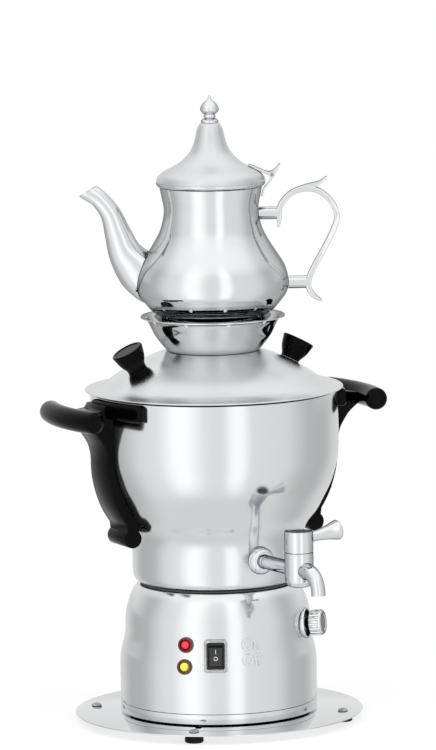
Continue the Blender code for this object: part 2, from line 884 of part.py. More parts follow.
def feet_and_screws():
    """Four rubber feet, each held by a screw through the plate."""
    bottom = PLATE_TOP + GAP
    tip = bottom - PLATE_THICK - FOOT_SCREW_DEPTH
    hole = FOOT_SCREW_RADIUS + GAP
    floor = tip - GAP
    screw_outline = [
        (0.0, bottom + FOOT_SCREW_HEAD_HEIGHT),
        (FOOT_SCREW_HEAD_RADIUS * 0.6, bottom + FOOT_SCREW_HEAD_HEIGHT * 0.9),
        (FOOT_SCREW_HEAD_RADIUS, bottom + FOOT_SCREW_HEAD_HEIGHT * 0.4),
        (FOOT_SCREW_HEAD_RADIUS, bottom),
        (FOOT_SCREW_RADIUS, bottom),
        (FOOT_SCREW_RADIUS, tip),
        (0.0, tip),
    ]
    foot_outline = [
        (0.0, floor),
        (hole, floor),
        (hole, FOOT_HEIGHT),
        (FOOT_RADIUS, FOOT_HEIGHT),
        (FOOT_RADIUS, FOOT_EDGE),
        (FOOT_RADIUS - FOOT_EDGE, 0.0),
        (0.0, 0.0),
    ]
    for number, side in enumerate(FOOT_SIDES, 1):
        x, y = direction(side)
        place = (x * FOOT_CIRCLE, y * FOOT_CIRCLE, 0.0)
        put(turned("rubber_foot_%d" % number, foot_outline, BLACK_RUBBER), AXIS, place)
        put(turned("foot_screw_%d" % number, screw_outline, PLATED_STEEL), AXIS, place)


def base_bottom():
    """Trim ring, the floor that rests on its ledge, and the bolt that holds both on the plate."""
    inner = BASE_RADIUS - RING_WALL
    ledge = BASE_RADIUS - RING_LEDGE
    ring_outline = [
        (BASE_RADIUS, RING_TOP),
        (BASE_RADIUS, RING_BOTTOM + RING_EDGE),
        (BASE_RADIUS - RING_EDGE, RING_BOTTOM),
        (ledge, RING_BOTTOM),
        (ledge, RING_BOTTOM + RING_LEDGE_THICK),
        (inner, RING_BOTTOM + RING_LEDGE_THICK),
        (inner, RING_TOP),
    ]
    put(turned("base_trim_ring", ring_outline, SATIN_STEEL, LARGE_STEPS, closed=True), AXIS)
    bore = CENTRE_BOLT_RADIUS + GAP
    floor_outline = [
        (inner - GAP, FLOOR_TOP),
        (inner - GAP, FLOOR_BOTTOM),
        (FLOOR_PAD_RADIUS, FLOOR_BOTTOM),
        (FLOOR_PAD_RADIUS, PLATE_TOP + GAP),
        (bore, PLATE_TOP + GAP),
        (bore, FLOOR_TOP),
    ]
    put(turned("base_floor", floor_outline, PLATED_STEEL, LARGE_STEPS, closed=True), AXIS)
    head_top = PLATE_BOTTOM - GAP
    head_bottom = head_top - CENTRE_BOLT_HEAD_HEIGHT
    bolt_outline = [
        (0.0, FLOOR_TOP),
        (CENTRE_BOLT_RADIUS, FLOOR_TOP),
        (CENTRE_BOLT_RADIUS, head_top),
        (CENTRE_BOLT_HEAD_RADIUS, head_top),
        (CENTRE_BOLT_HEAD_RADIUS, head_bottom),
        (0.0, head_bottom),
    ]
    put(turned("centre_bolt", bolt_outline, PLATED_STEEL), AXIS)


def base_shell():
    """Waisted shell with openings for the dial, the switch, the lamps and the inlet."""
    shell = put(turned("base_shell", BASE_LINE, SATIN_STEEL, LARGE_STEPS, wall=BASE_WALL), AXIS)
    dial = rod("dial_opening", DIAL_RADIUS + GAP, -OVERRUN - DIAL_DEPTH, OVERRUN, steps=MIDDLE_STEPS)
    cut(shell, moved(dial, *DIAL_PLACE), AXIS)
    width = SWITCH_BODY_WIDTH + GAP + GAP
    tall = SWITCH_BODY_TALL + GAP + GAP
    switch = box("switch_opening", (width, tall, OVERRUN * 2.0), (0.0, 0.0, 0.0))
    cut(shell, moved(switch, *SWITCH_PLACE), AXIS)
    for level in (RED_LAMP_HEIGHT, AMBER_LAMP_HEIGHT):
        lamp = rod("lamp_opening", LAMP_BARREL_RADIUS + GAP, -OVERRUN, OVERRUN)
        cut(shell, moved(lamp, *on_wall(BASE_LINE, LAMP_SIDE, level, LAMP_RADIUS)), AXIS)
    width = INLET_BODY_WIDTH + GAP + GAP
    tall = INLET_BODY_TALL + GAP + GAP
    inlet = box("inlet_opening", (width, tall, OVERRUN * 2.0), (0.0, 0.0, 0.0))
    cut(shell, moved(inlet, *on_wall(BASE_LINE, REAR_SIDE, INLET_HEIGHT, INLET_TALL / 2.0)), AXIS)


def base_gasket():
    low = BASE_TOP + GAP
    ring = sleeve("base_gasket", GASKET_RADIUS, GASKET_BORE, low, low + GASKET_HEIGHT,
                  BLACK_RUBBER, LARGE_STEPS)
    put(ring, AXIS)


def element_leg_places():
    """Where the two legs of the heating element pass the vessel bottom."""
    places = []
    for side in ELEMENT_SIDES:
        x, y = direction(side)
        places.append((x * ELEMENT_RING_RADIUS, y * ELEMENT_RING_RADIUS))
    return places


def vessel():
    """Bulged water vessel with holes for the tap, the element legs and the handle screws."""
    line = VESSEL_LINE + [(0.0, VESSEL_BOTTOM)]
    pot = put(turned("vessel", line, SATIN_STEEL, LARGE_STEPS, wall=VESSEL_WALL), AXIS)
    radius = radius_at(VESSEL_LINE, PIPE_HEIGHT)
    hole = rod("pipe_hole", PIPE_RADIUS + GAP, radius - OVERRUN * 2.0, radius + OVERRUN, steps=16)
    cut(pot, moved(hole, (0.0, 0.0, PIPE_HEIGHT), (math.pi / 2.0, 0.0, 0.0)))
    for x, y in element_leg_places():
        low = VESSEL_BOTTOM - OVERRUN
        leg = rod("leg_hole", ELEMENT_RADIUS + GAP, low, VESSEL_BOTTOM + OVERRUN)
        cut(pot, moved(leg, (x, y, 0.0)))
    for side in (0.0, math.pi):
        low = VESSEL_RADIUS - OVERRUN
        screw = rod("screw_hole", HANDLE_SCREW_RADIUS + GAP, low, VESSEL_RADIUS + OVERRUN)
        place = (0.0, 0.0, VESSEL_TOP - HANDLE_SCREW_DROP)
        cut(pot, moved(screw, place, (0.0, math.pi / 2.0, side + math.radians(HANDLE_TURN))))


def heating_element():
    """Tubular heater: an open ring low in the vessel, with two legs through its bottom."""
    level = VESSEL_BOTTOM + ELEMENT_LIFT
    low = VESSEL_BOTTOM - ELEMENT_TAIL
    start, end = ELEMENT_SIDES
    lean = math.degrees(ELEMENT_BEND / ELEMENT_RING_RADIUS)
    stations = [(start, low), (start, level - ELEMENT_BEND)]
    stations.append((start + lean * 0.3, level - ELEMENT_BEND * 0.3))
    for step in range(ELEMENT_STEPS + 1):
        side = start + lean + (end - start - 2.0 * lean) * step / ELEMENT_STEPS
        stations.append((side, level))
    stations.append((end - lean * 0.3, level - ELEMENT_BEND * 0.3))
    stations += [(end, level - ELEMENT_BEND), (end, low)]
    route = []
    for side, height in stations:
        x, y = direction(side)
        ring = ELEMENT_RING_RADIUS
        route.append((x * ring, y * ring, height, ELEMENT_RADIUS))
    put(tube("heating_element", route, PLATED_STEEL), AXIS)
    high = VESSEL_BOTTOM - GAP
    bore = (ELEMENT_RADIUS + GAP) / math.cos(math.pi / 6.0)
    for number, (x, y) in enumerate(element_leg_places(), 1):
        nut = sleeve("element_nut_%d" % number, ELEMENT_NUT_RADIUS, bore,
                     high - ELEMENT_NUT_HEIGHT, high, PLATED_STEEL, 6)
        put(nut, AXIS, (x, y, 0.0))


def cutout_and_terminals():
    """Boil-dry cut-out under the vessel and the terminal block on the floor."""
    top = VESSEL_BOTTOM - GAP
    neck = top - CUTOUT_HEIGHT * 0.3
    outline = [
        (0.0, top),
        (CUTOUT_RADIUS, top),
        (CUTOUT_RADIUS, neck),
        (CUTOUT_RADIUS * 0.75, neck),
        (CUTOUT_RADIUS * 0.75, top - CUTOUT_HEIGHT),
        (0.0, top - CUTOUT_HEIGHT),
    ]
    put(turned("boil_dry_cutout", outline, CERAMIC, 16), AXIS)
    half = TERMINAL_LENGTH / 2.0
    shoulder = TERMINAL_HEIGHT * 0.55
    outline = [
        (-half, 0.0),
        (half, 0.0),
        (half, shoulder),
        (half * 0.8, TERMINAL_HEIGHT),
        (-half * 0.8, TERMINAL_HEIGHT),
        (-half, shoulder),
    ]
    block = slab("terminal_block", outline, TERMINAL_DEPTH, CERAMIC)
    put(block, AXIS, (0.0, TERMINAL_BACK, FLOOR_TOP + GAP))


def wall_fitting(name, flange, barrel, place):
    """Fitting whose flange follows the base wall and whose barrel passes through it."""
    put(flange, AXIS, *place)
    flange.name = name
    cut(flange, base_jacket(), AXIS)
    return join(flange, barrel)


def thermostat():
    """Dial dish, black disc, thermostat body with its bush, spindle and knob."""
    bore = BUSH_RADIUS + GAP
    dish_floor = -DIAL_DEPTH
    well = DIAL_RADIUS - BASE_WALL
    lip = sleeve("dial_lip", DIAL_RADIUS + DIAL_LIP, well, -SINK, DIAL_LIP_RISE,
                 MIRROR_STEEL, MIDDLE_STEPS)
    dish_outline = [
        (DIAL_RADIUS, DIAL_LIP_RISE * 0.7),
        (DIAL_RADIUS, dish_floor - DIAL_FLOOR),
        (bore, dish_floor - DIAL_FLOOR),
        (bore, dish_floor),
        (well - GAP, dish_floor),
        (well - GAP, DIAL_LIP_RISE * 0.7),
    ]
    dish = turned("dial_dish", dish_outline, None, MIDDLE_STEPS, closed=True)
    wall_fitting("thermostat_dial_plate", lip, dish, DIAL_PLACE)
    disc = sleeve("thermostat_dial_disc", DIAL_DISC_RADIUS, bore, dish_floor + GAP,
                  dish_floor + GAP + DIAL_DISC_THICK, BLACK_NYLON, MIDDLE_STEPS)
    put(disc, AXIS, *DIAL_PLACE)
    spindle_bore = SPINDLE_RADIUS + GAP
    body_outline = [
        (0.0, -THERMOSTAT_BACK + OVERRUN),
        (spindle_bore, -THERMOSTAT_BACK + OVERRUN),
        (spindle_bore, -BUSH_FRONT),
        (BUSH_RADIUS, -BUSH_FRONT),
        (BUSH_RADIUS, -THERMOSTAT_FRONT),
        (THERMOSTAT_RADIUS, -THERMOSTAT_FRONT),
        (THERMOSTAT_RADIUS, -THERMOSTAT_BACK),
        (0.0, -THERMOSTAT_BACK),
    ]
    put(turned("thermostat_body", body_outline, CERAMIC, 16), AXIS, *DIAL_PLACE)
    knob_floor = DIAL_KNOB_BACK + DIAL_KNOB_LENGTH * SPINDLE_IN_KNOB_SHARE
    spindle = rod("thermostat_spindle", SPINDLE_RADIUS, GAP + OVERRUN - THERMOSTAT_BACK,
                  knob_floor - GAP, PLATED_STEEL)
    put(spindle, DIAL_AXIS)
    outline = scaled(DIAL_KNOB_SHARES, DIAL_KNOB_RADIUS, DIAL_KNOB_BACK, DIAL_KNOB_LENGTH)
    outline += [
        (DIAL_HUB_RADIUS, DIAL_KNOB_BACK),
        (DIAL_HUB_RADIUS, GAP - BUSH_FRONT),
        (spindle_bore, GAP - BUSH_FRONT),
        (spindle_bore, knob_floor),
        (0.0, knob_floor),
    ]
    put(turned("thermostat_knob", outline, CHROME, MIDDLE_STEPS), DIAL_AXIS)


def switch():
    """Splash frame on the wall, switch body in it, and the rocker in its pocket."""
    opening = (SWITCH_WIDTH + GAP + GAP, SWITCH_TALL + GAP + GAP, OVERRUN * 4.0)
    height = SINK + FRAME_RISE
    size = (FRAME_WIDTH, FRAME_HEIGHT, height)
    frame = box("switch_frame", size, (0.0, 0.0, FRAME_RISE - height / 2.0), CLEAR_FRAME)
    rounded(frame, FRAME_EDGE)
    put(frame, AXIS, *SWITCH_PLACE)
    cut(frame, base_jacket(), AXIS)
    cut(frame, box("frame_opening", opening, (0.0, 0.0, 0.0)))
    lip_size = (SWITCH_WIDTH, SWITCH_TALL, SWITCH_LIP)
    body = box("switch_body", lip_size, (0.0, 0.0, SWITCH_RISE - SWITCH_LIP / 2.0), BLACK_NYLON)
    put(body, AXIS, *SWITCH_PLACE)
    depth = SWITCH_DEPTH + SWITCH_RISE - SWITCH_LIP / 2.0
    can_size = (SWITCH_BODY_WIDTH, SWITCH_BODY_TALL, depth)
    join(body, box("switch_can", can_size, (0.0, 0.0, depth / 2.0 - SWITCH_DEPTH)))
    depth = POCKET_DEPTH + SWITCH_RISE + OVERRUN
    pocket_size = (ROCKER_WIDTH + GAP + GAP, ROCKER_TALL + ROCKER_RUN * 2.0, depth)
    cut(body, box("switch_pocket", pocket_size, (0.0, 0.0, depth / 2.0 - POCKET_DEPTH)))
    half = ROCKER_TALL / 2.0
    outline = [(share[0] * half, share[1] * ROCKER_RISE) for share in ROCKER_SHARES]
    rocker = slab("switch_rocker", outline, ROCKER_WIDTH, BLACK_NYLON)
    upright = Matrix.Rotation(math.pi / 2.0, 4, "Z") @ Matrix.Rotation(math.pi / 2.0, 4, "X")
    rocker.data.transform(upright @ Matrix.Rotation(-math.pi / 2.0, 4, "X"))
    put(rocker, ROCKER_AXIS, rotation=(math.radians(ROCKER_TILT), 0.0, 0.0))


def lamp(colour, level, bezel_material, lens_material):
    """Signal lamp: a bezel with a barrel through the wall, and a domed lens in it."""
    place = on_wall(BASE_LINE, LAMP_SIDE, level, LAMP_RADIUS)
    bore = LENS_RADIUS + GAP
    flange_outline = [
        (LAMP_RADIUS * 0.80, LAMP_RISE),
        (LAMP_RADIUS, LAMP_RISE * 0.45),
        (LAMP_RADIUS, -SINK),
        (bore, -SINK),
        (bore, LAMP_RISE * 0.75),
    ]
    flange = turned("lamp_flange", flange_outline, bezel_material, 16, closed=True)
    barrel = sleeve("lamp_barrel", LAMP_BARREL_RADIUS, bore, -LAMP_BARREL_DEPTH, LAMP_RISE * 0.6)
    bore_cut = rod("lamp_bore", bore, -LAMP_BARREL_DEPTH - OVERRUN, LAMP_RISE + OVERRUN)
    bezel = wall_fitting("lamp_%s_bezel" % colour, flange, barrel, place)
    cut(bezel, bore_cut)
    lens_outline = [
        (0.0, LENS_RISE),
        (LENS_RADIUS * 0.60, LENS_RISE * 0.90),
        (LENS_RADIUS, LENS_RISE * 0.60),
        (LENS_RADIUS, -LENS_DEPTH),
        (0.0, -LENS_DEPTH),
    ]
    put(turned("lamp_%s_lens" % colour, lens_outline, lens_material), AXIS, *place)


def power_inlet():
    """Appliance inlet with three blades in its well."""
    place = on_wall(BASE_LINE, REAR_SIDE, INLET_HEIGHT, INLET_TALL / 2.0)
    height = SINK + INLET_RISE
    size = (INLET_WIDTH, INLET_TALL, height)
    flange = box("inlet_flange", size, (0.0, 0.0, INLET_RISE - height / 2.0), BLACK_NYLON)
    rounded(flange, INLET_EDGE)
    depth = INLET_DEPTH + INLET_RISE / 2.0
    can_size = (INLET_BODY_WIDTH, INLET_BODY_TALL, depth)
    can = box("inlet_can", can_size, (0.0, 0.0, depth / 2.0 - INLET_DEPTH))
    inlet = wall_fitting("power_inlet", flange, can, place)
    floor = INLET_FLOOR - INLET_DEPTH
    depth = INLET_RISE + OVERRUN - floor
    well_size = (INLET_BODY_WIDTH - INLET_WALL * 2.0, INLET_BODY_TALL - INLET_WALL * 2.0, depth)
    cut(inlet, box("inlet_well", well_size, (0.0, 0.0, floor + depth / 2.0)))
    length = BLADE_LENGTH + INLET_FLOOR / 2.0
    for step in (-1, 0, 1):
        lift = BLADE_TALL * 0.5 * (1 - abs(step) * 2)
        centre = (BLADE_SPACING * step, lift, floor + length / 2.0 - INLET_FLOOR / 2.0)
        join(inlet, box("inlet_blade", (BLADE_WIDTH, BLADE_TALL, length), centre))


def tap_spout_route(radius, ends):
    """Middle line of the tap spout, run on past its ends where it is used as a cutter."""
    route = []
    for out, rise, wide in TAP_SPOUT_SHARES:
        y = -TAP_CENTRE - out * SPOUT_OUTLET_REACH
        z = PIPE_HEIGHT + rise * SPOUT_OUTLET_DROP
        swell = (wide - 1.0) * SPOUT_TUBE_RADIUS * (0.0 if ends else 1.0)
        route.append((0.0, y, z, radius + swell))
    route = smooth(route, 2)
    if ends:
        x, y, z, wide = route[-1]
        route.append((x, y, z - ends, wide))
    return route


def tap():
    """Tap body with pipe and spout, its flange and nut, and the plug, head, lever and disc."""
    socket = PLUG_RADIUS + GAP
    socket_floor = PIPE_HEIGHT - PLUG_RADIUS
    barrel_outline = [
        (0.0, TAP_TOP),
        (TAP_RADIUS, TAP_TOP),
        (TAP_RADIUS, TAP_BOTTOM + TAP_CHEEK * 2.0),
        (TAP_RADIUS * 0.86, TAP_BOTTOM + TAP_CHEEK * 0.8),
        (TAP_RADIUS * 0.55, TAP_BOTTOM + TAP_CHEEK * 0.15),
        (0.0, TAP_BOTTOM),
    ]
    body = turned("tap_body", barrel_outline, CHROME, MIDDLE_STEPS)
    put(body, AXIS, (0.0, -TAP_CENTRE, 0.0))
    pipe = rod("tap_pipe", PIPE_RADIUS, PIPE_INNER_END, TAP_CENTRE - TAP_RADIUS / 2.0, steps=16)
    flat = (math.pi / 2.0, 0.0, 0.0)
    join(body, moved(pipe, (0.0, 0.0, PIPE_HEIGHT), flat), AXIS)
    join(body, tube("tap_spout_tube", tap_spout_route(SPOUT_TUBE_RADIUS, 0.0), None, 4), AXIS)
    cut(body, rod("plug_socket", socket, socket_floor, TAP_TOP + OVERRUN, steps=16))
    bore = rod("pipe_bore", PIPE_BORE, PIPE_INNER_END - OVERRUN, TAP_CENTRE, steps=8)
    cut(body, moved(bore, (0.0, 0.0, PIPE_HEIGHT), flat), AXIS)
    cut(body, tube("spout_bore", tap_spout_route(PIPE_BORE, OVERRUN), None, 2), AXIS)

    wall = radius_at(VESSEL_LINE, PIPE_HEIGHT)
    outline = scaled(FLANGE_SHARES, FLANGE_RADIUS, 0.0, FLANGE_DEPTH)
    outline += [
        (FLANGE_RADIUS, -FLANGE_SINK),
        (PIPE_RADIUS + GAP, -FLANGE_SINK),
        (PIPE_RADIUS + GAP, FLANGE_DEPTH),
    ]
    flange = turned("tap_flange", outline, CHROME, MIDDLE_STEPS, closed=True)
    put(flange, AXIS, (0.0, -wall, PIPE_HEIGHT), flat)
    cut(flange, jacket("vessel_trim", VESSEL_LINE, LARGE_STEPS), AXIS)
    high = wall - VESSEL_WALL - TAP_NUT_INSET
    nut_bore = (PIPE_RADIUS + GAP) / math.cos(math.pi / 6.0)
    nut = sleeve("tap_nut", TAP_NUT_RADIUS, nut_bore, high - TAP_NUT_THICK, high, PLATED_STEEL, 6)
    put(nut, AXIS, (0.0, 0.0, PIPE_HEIGHT), flat)

    head_bottom = TAP_TOP + GAP
    head_top = head_bottom + HEAD_HEIGHT
    socket_top = head_bottom + HEAD_SOCKET_DEPTH
    plug_outline = [
        (0.0, socket_top - GAP),
        (STEM_RADIUS, socket_top - GAP),
        (STEM_RADIUS, TAP_TOP - PLUG_DEPTH),
        (PLUG_RADIUS, TAP_TOP - PLUG_DEPTH),
        (PLUG_RADIUS, socket_floor + GAP),
        (0.0, socket_floor + GAP),
    ]
    plug = put(turned("tap_plug", plug_outline, PLATED_STEEL, 16), TAP_AXIS)
    cross = rod("plug_bore", PIPE_BORE, -PLUG_RADIUS * 2.0, PLUG_RADIUS * 2.0, steps=8)
    cut(plug, moved(cross, (0.0, 0.0, PIPE_HEIGHT), (0.0, math.pi / 2.0, 0.0)))

    recess = head_top - HEAD_RECESS_DEPTH
    head_outline = [
        (0.0, recess),
        (HEAD_RECESS_RADIUS, recess),
        (HEAD_RECESS_RADIUS, head_top),
        (TAP_RADIUS - HEAD_EDGE, head_top),
        (TAP_RADIUS, head_top - HEAD_EDGE),
        (TAP_RADIUS, head_bottom),
        (STEM_RADIUS + GAP, head_bottom),
        (STEM_RADIUS + GAP, socket_top),
        (0.0, socket_top),
    ]
    head = put(turned("tap_head", head_outline, CHROME, MIDDLE_STEPS), TAP_AXIS)
    lean = (0.0, math.radians(90.0 - LEVER_TILT), 0.0)
    place = (0.0, 0.0, head_bottom + HEAD_HEIGHT * LEVER_HEIGHT_SHARE)
    root = LEVER_SHARES[-1][0] * LEVER_RADIUS
    hole = rod("lever_hole", root + GAP, LEVER_ROOT - GAP, LEVER_LENGTH)
    cut(head, moved(hole, place, lean))
    outline = scaled(LEVER_SHARES, LEVER_RADIUS, LEVER_ROOT, LEVER_LENGTH - LEVER_ROOT)
    outline.append((0.0, LEVER_ROOT))
    put(turned("tap_lever", outline, CHROME, 16), TAP_AXIS, place, lean)
    disc = rod("tap_head_disc", HEAD_RECESS_RADIUS - GAP, recess + GAP, recess + GAP + DISC_THICK,
               BLACK_NYLON, MIDDLE_STEPS)
    put(disc, TAP_AXIS)


def grip_route(extra):
    """Middle line of a side grip: a shallow arc with rounded ends."""
    level = VESSEL_TOP - BRACKET_DROP - GRIP_DROP
    half = GRIP_LENGTH / 2.0
    stations = [(-share, wide) for share, wide in GRIP_END_SHARES]
    inner = GRIP_END_SHARES[-1][0]
    stations += [(inner * (2.0 * i / GRIP_STEPS - 1.0), 1.0) for i in range(1, GRIP_STEPS)]
    stations += [(share, wide) for share, wide in reversed(GRIP_END_SHARES)]
    route = []
    for share, wide in stations:
        x = VESSEL_RADIUS + GRIP_REACH - GRIP_BOW * share * share
        route.append((x, share * half, level, wide * GRIP_RADIUS + extra))
    return route


def bracket_outline():
    """Side view of a handle bracket: pad and arm at the top, leg along the wall, and heel."""
    top = VESSEL_TOP - BRACKET_DROP
    bottom = top - BRACKET_LENGTH
    outline = []
    for reach, rise in BRACKET_SHARES:
        outline.append((VESSEL_RADIUS + reach * BRACKET_REACH, bottom + rise * BRACKET_LENGTH))
    for share in INNER_LEVEL_SHARES:
        level = bottom + share * BRACKET_LENGTH
        outline.append((radius_at(VESSEL_LINE, level) - OVERRUN, level))
    outline.append((VESSEL_RADIUS - OVERRUN, top))
    return outline, top, bottom


def wing_outline():
    """Seen from above, the curved pad that hugs the vessel on both sides of a bracket."""
    inner = VESSEL_RADIUS - OVERRUN
    outer = VESSEL_RADIUS + GAP + WING_THICK
    angles = [math.radians(WING_SPAN * (2.0 * i / WING_STEPS - 1.0)) for i in range(WING_STEPS + 1)]
    near = [(inner * math.cos(a), inner * math.sin(a)) for a in angles]
    far = [(outer * math.cos(a), outer * math.sin(a)) for a in reversed(angles)]
    return near + far


def side_handle(name, turn):
    """Bracket, grip and screw of one side, modelled on the +X side and turned."""
    outline, top, bottom = bracket_outline()
    rotation = (0.0, 0.0, turn)
    bracket = slab("handle_bracket_" + name, outline, BRACKET_WIDTH, BLACK_RESIN)
    put(rounded(bracket, BRACKET_EDGE), AXIS, rotation=rotation)
    wing = slab("wing", wing_outline(), WING_HEIGHT, None, upright=False)
    join(bracket, moved(rounded(wing, BRACKET_EDGE), (0.0, 0.0, top - WING_DROP - WING_HEIGHT / 2.0)))
    rolls = ((HEEL_REACH, HEEL_RADIUS, 0.0), (TOE_REACH, TOE_RADIUS, TOE_RISE))
    for reach, radius, rise in rolls:
        roll = rod("roll", radius, -BRACKET_WIDTH / 2.0, BRACKET_WIDTH / 2.0)
        place = (VESSEL_RADIUS + reach, 0.0, bottom + rise)
        join(bracket, moved(roll, place, (math.pi / 2.0, 0.0, 0.0)))
    cut(bracket, jacket("vessel_trim", VESSEL_LINE, LARGE_STEPS), AXIS)
    cut(bracket, tube("grip_seat", grip_route(GAP), None, 4))
    level = VESSEL_TOP - HANDLE_SCREW_DROP
    tip = VESSEL_RADIUS + HANDLE_SCREW_LENGTH
    hole = rod("screw_hole", HANDLE_SCREW_RADIUS + GAP, VESSEL_RADIUS - OVERRUN, tip + GAP)
    across = (0.0, math.pi / 2.0, 0.0)
    cut(bracket, moved(hole, (0.0, 0.0, level), across))
    put(tube("handle_grip_" + name, grip_route(0.0), BLACK_RESIN, 4), AXIS, rotation=rotation)
    seat = VESSEL_RADIUS * math.cos(math.pi / LARGE_STEPS) - VESSEL_WALL - GAP
    outline = [
        (0.0, tip),
        (HANDLE_SCREW_RADIUS, tip),
        (HANDLE_SCREW_RADIUS, seat),
        (HANDLE_SCREW_HEAD, seat),
        (HANDLE_SCREW_HEAD, seat - HANDLE_SCREW_HEAD_THICK),
        (0.0, seat - HANDLE_SCREW_HEAD_THICK),
    ]
    screw = turned("handle_screw_" + name, outline, PLATED_STEEL)
    put(screw, AXIS, (0.0, 0.0, level), (0.0, math.pi / 2.0, turn))


def lid():
    """Domed lid with a steam opening, and a skirt that centres it in the vessel."""
    inner = moved_out(LID_LINE, -LID_WALL)
    skirt_inner = SKIRT_RADIUS - LID_WALL
    skirt_level = level_at(inner, skirt_inner)[0]
    skirt_bottom = LID_BOTTOM - SKIRT_DEPTH
    outline = list(LID_LINE)
    outline += [
        (LID_RADIUS, LID_BOTTOM),
        (SKIRT_RADIUS, LID_BOTTOM),
        (SKIRT_RADIUS, skirt_bottom),
        (skirt_inner, skirt_bottom),
        (skirt_inner, skirt_level),
    ]
    outline += [point for point in reversed(inner) if point[0] < skirt_inner]
    put(turned("lid", outline, LID_STEEL, LARGE_STEPS, closed=True), LID_LIFT)


def lid_knobs():
    """Two knobs that widen upwards and stand square to the dome."""
    level, lean = level_at(LID_LINE, KNOB_CIRCLE)
    outline = scaled(KNOB_SHARES, KNOB_RADIUS, 0.0, KNOB_HEIGHT)
    outline += [(outline[-1][0], -KNOB_SINK), (0.0, -KNOB_SINK)]
    for name, turn in (("right", 0.0), ("left", math.pi)):
        turn += math.radians(LID_TURN)
        place = (KNOB_CIRCLE * math.cos(turn), KNOB_CIRCLE * math.sin(turn), level)
        knob = turned("lid_knob_" + name, outline, BLACK_RESIN, 16)
        put(knob, LID_LIFT, place, (0.0, lean, turn))
        cut(knob, jacket("lid_trim", LID_LINE, LARGE_STEPS), LID_LIFT)


def teapot_stand():
    """Open bowl with a perforated flange, in which the teapot stands."""
    stand = turned("teapot_stand", STAND_LINE, MIRROR_STEEL, LARGE_STEPS, wall=STAND_WALL)
    put(stand, LID_LIFT)
    circle = STAND_HOLE_CIRCLE_SHARE * STAND_RADIUS
    high = STAND_BOTTOM + STAND_HEIGHT + OVERRUN
    for number in range(STAND_HOLES):
        x, y = direction(360.0 * (number + 0.5) / STAND_HOLES)
        hole = rod("vent", STAND_HOLE_RADIUS, high - OVERRUN * 3.0, high, steps=8)
        cut(stand, moved(hole, (x * circle, y * circle, 0.0)))


def pot_jacket():
    return jacket("teapot_trim", POT_LINE, POT_STEPS)


def spout_place():
    """Where the spout leaves the wall, and its direction there."""
    reach, rise = SPOUT_SHARES[0][:2]
    place = (-reach * POT_RADIUS, 0.0, POT_BOTTOM + rise * POT_HEIGHT)
    return place, (0.0, math.radians(SPOUT_ANGLE - 90.0), 0.0)


def teapot_body():
    """Pear-shaped body with a rolled collar and the hole behind the spout."""
    line = POT_LINE + [(0.0, POT_BOTTOM)]
    body = put(turned("teapot_body", line, MIRROR_STEEL, POT_STEPS, wall=POT_WALL), POT_LIFT)
    hole = rod("spout_hole", SPOUT_HOLE_RADIUS, 0.0, POT_RADIUS / 2.0)
    cut(body, moved(hole, *spout_place()))
    liner_line = moved_out(POT_LINE[4:-2], -POT_WALL - GAP)
    inner_line = moved_out(POT_LINE[4:-2], -POT_WALL - GAP - STRAINER_THICK)
    liner = liner_line + inner_line[::-1]
    strainer = turned("teapot_strainer", liner, SATIN_STEEL, POT_STEPS, closed=True)
    put(strainer, POT_LIFT)
    disc = rod("strainer_disc", STRAINER_RADIUS, 0.0, POT_RADIUS / 2.0)
    combine(strainer, moved(disc, *spout_place()), "INTERSECT")
    place, turn = spout_place()
    frame = empty("spout_hole_axis", POT_LIFT, place, turn)
    for number in range(STRAINER_HOLES):
        x, y = direction(360.0 * number / STRAINER_HOLES)
        hole = rod("strainer_hole", STRAINER_HOLE_RADIUS, 0.0, POT_RADIUS, steps=6)
        hole.location = (x * STRAINER_HOLE_CIRCLE, y * STRAINER_HOLE_CIRCLE, 0.0)
        cut(strainer, hole, frame)


def spout_route(wall, overrun):
    """Middle line of the spout as (x, y, z, radius), run on past the mouth by an overrun."""
    route = []
    for reach, rise, wide in SPOUT_SHARES:
        z = POT_BOTTOM + rise * POT_HEIGHT
        route.append((-reach * POT_RADIUS, 0.0, z, wide * POT_RADIUS - wall))
    route = smooth(route, 2)
    if overrun:
        (x0, y0, z0, r0), (x1, y1, z1, r1) = route[-2:]
        reach = overrun / math.hypot(x1 - x0, z1 - z0)
        route.append((x1 + (x1 - x0) * reach, y1, z1 + (z1 - z0) * reach, r1))
    return route


def teapot_spout():
    """Curved spout, a little narrower than it is high, that ends on the body."""
    narrow = Matrix.Diagonal((1.0, SPOUT_WIDTH_SHARE, 1.0, 1.0))
    spout = tube("teapot_spout", spout_route(0.0, 0.0), MIRROR_STEEL, 4)
    spout.data.transform(narrow)
    put(spout, POT_LIFT)
    bore = tube("spout_bore", spout_route(SPOUT_WALL, OVERRUN), None, 4)
    bore.data.transform(narrow)
    cut(spout, bore)
    cut(spout, pot_jacket())


def teapot_handle():
    """Flat strap handle with a thumb horn, on two round posts."""
    def stations(shares):
        return smooth([(x * POT_RADIUS, POT_BOTTOM + z * POT_HEIGHT, half * POT_RADIUS)
                       for x, z, half in shares], 2)

    strap = slab("teapot_handle", band(stations(HANDLE_SHARES)), HANDLE_WIDTH, MIRROR_STEEL)
    put(rounded(strap, HANDLE_EDGE), POT_LIFT)
    horn = slab("horn", band(stations(HORN_SHARES)), HANDLE_WIDTH * 0.94)
    join(strap, rounded(horn, HANDLE_EDGE / 2.0))
    for near, far, rise in (UPPER_POST_SHARES, LOWER_POST_SHARES):
        post = rod("post", POST_RADIUS, near * POT_RADIUS, far * POT_RADIUS)
        level = POT_BOTTOM + rise * POT_HEIGHT
        join(strap, moved(post, (0.0, 0.0, level), (0.0, math.pi / 2.0, 0.0)))
    cut(strap, pot_jacket())


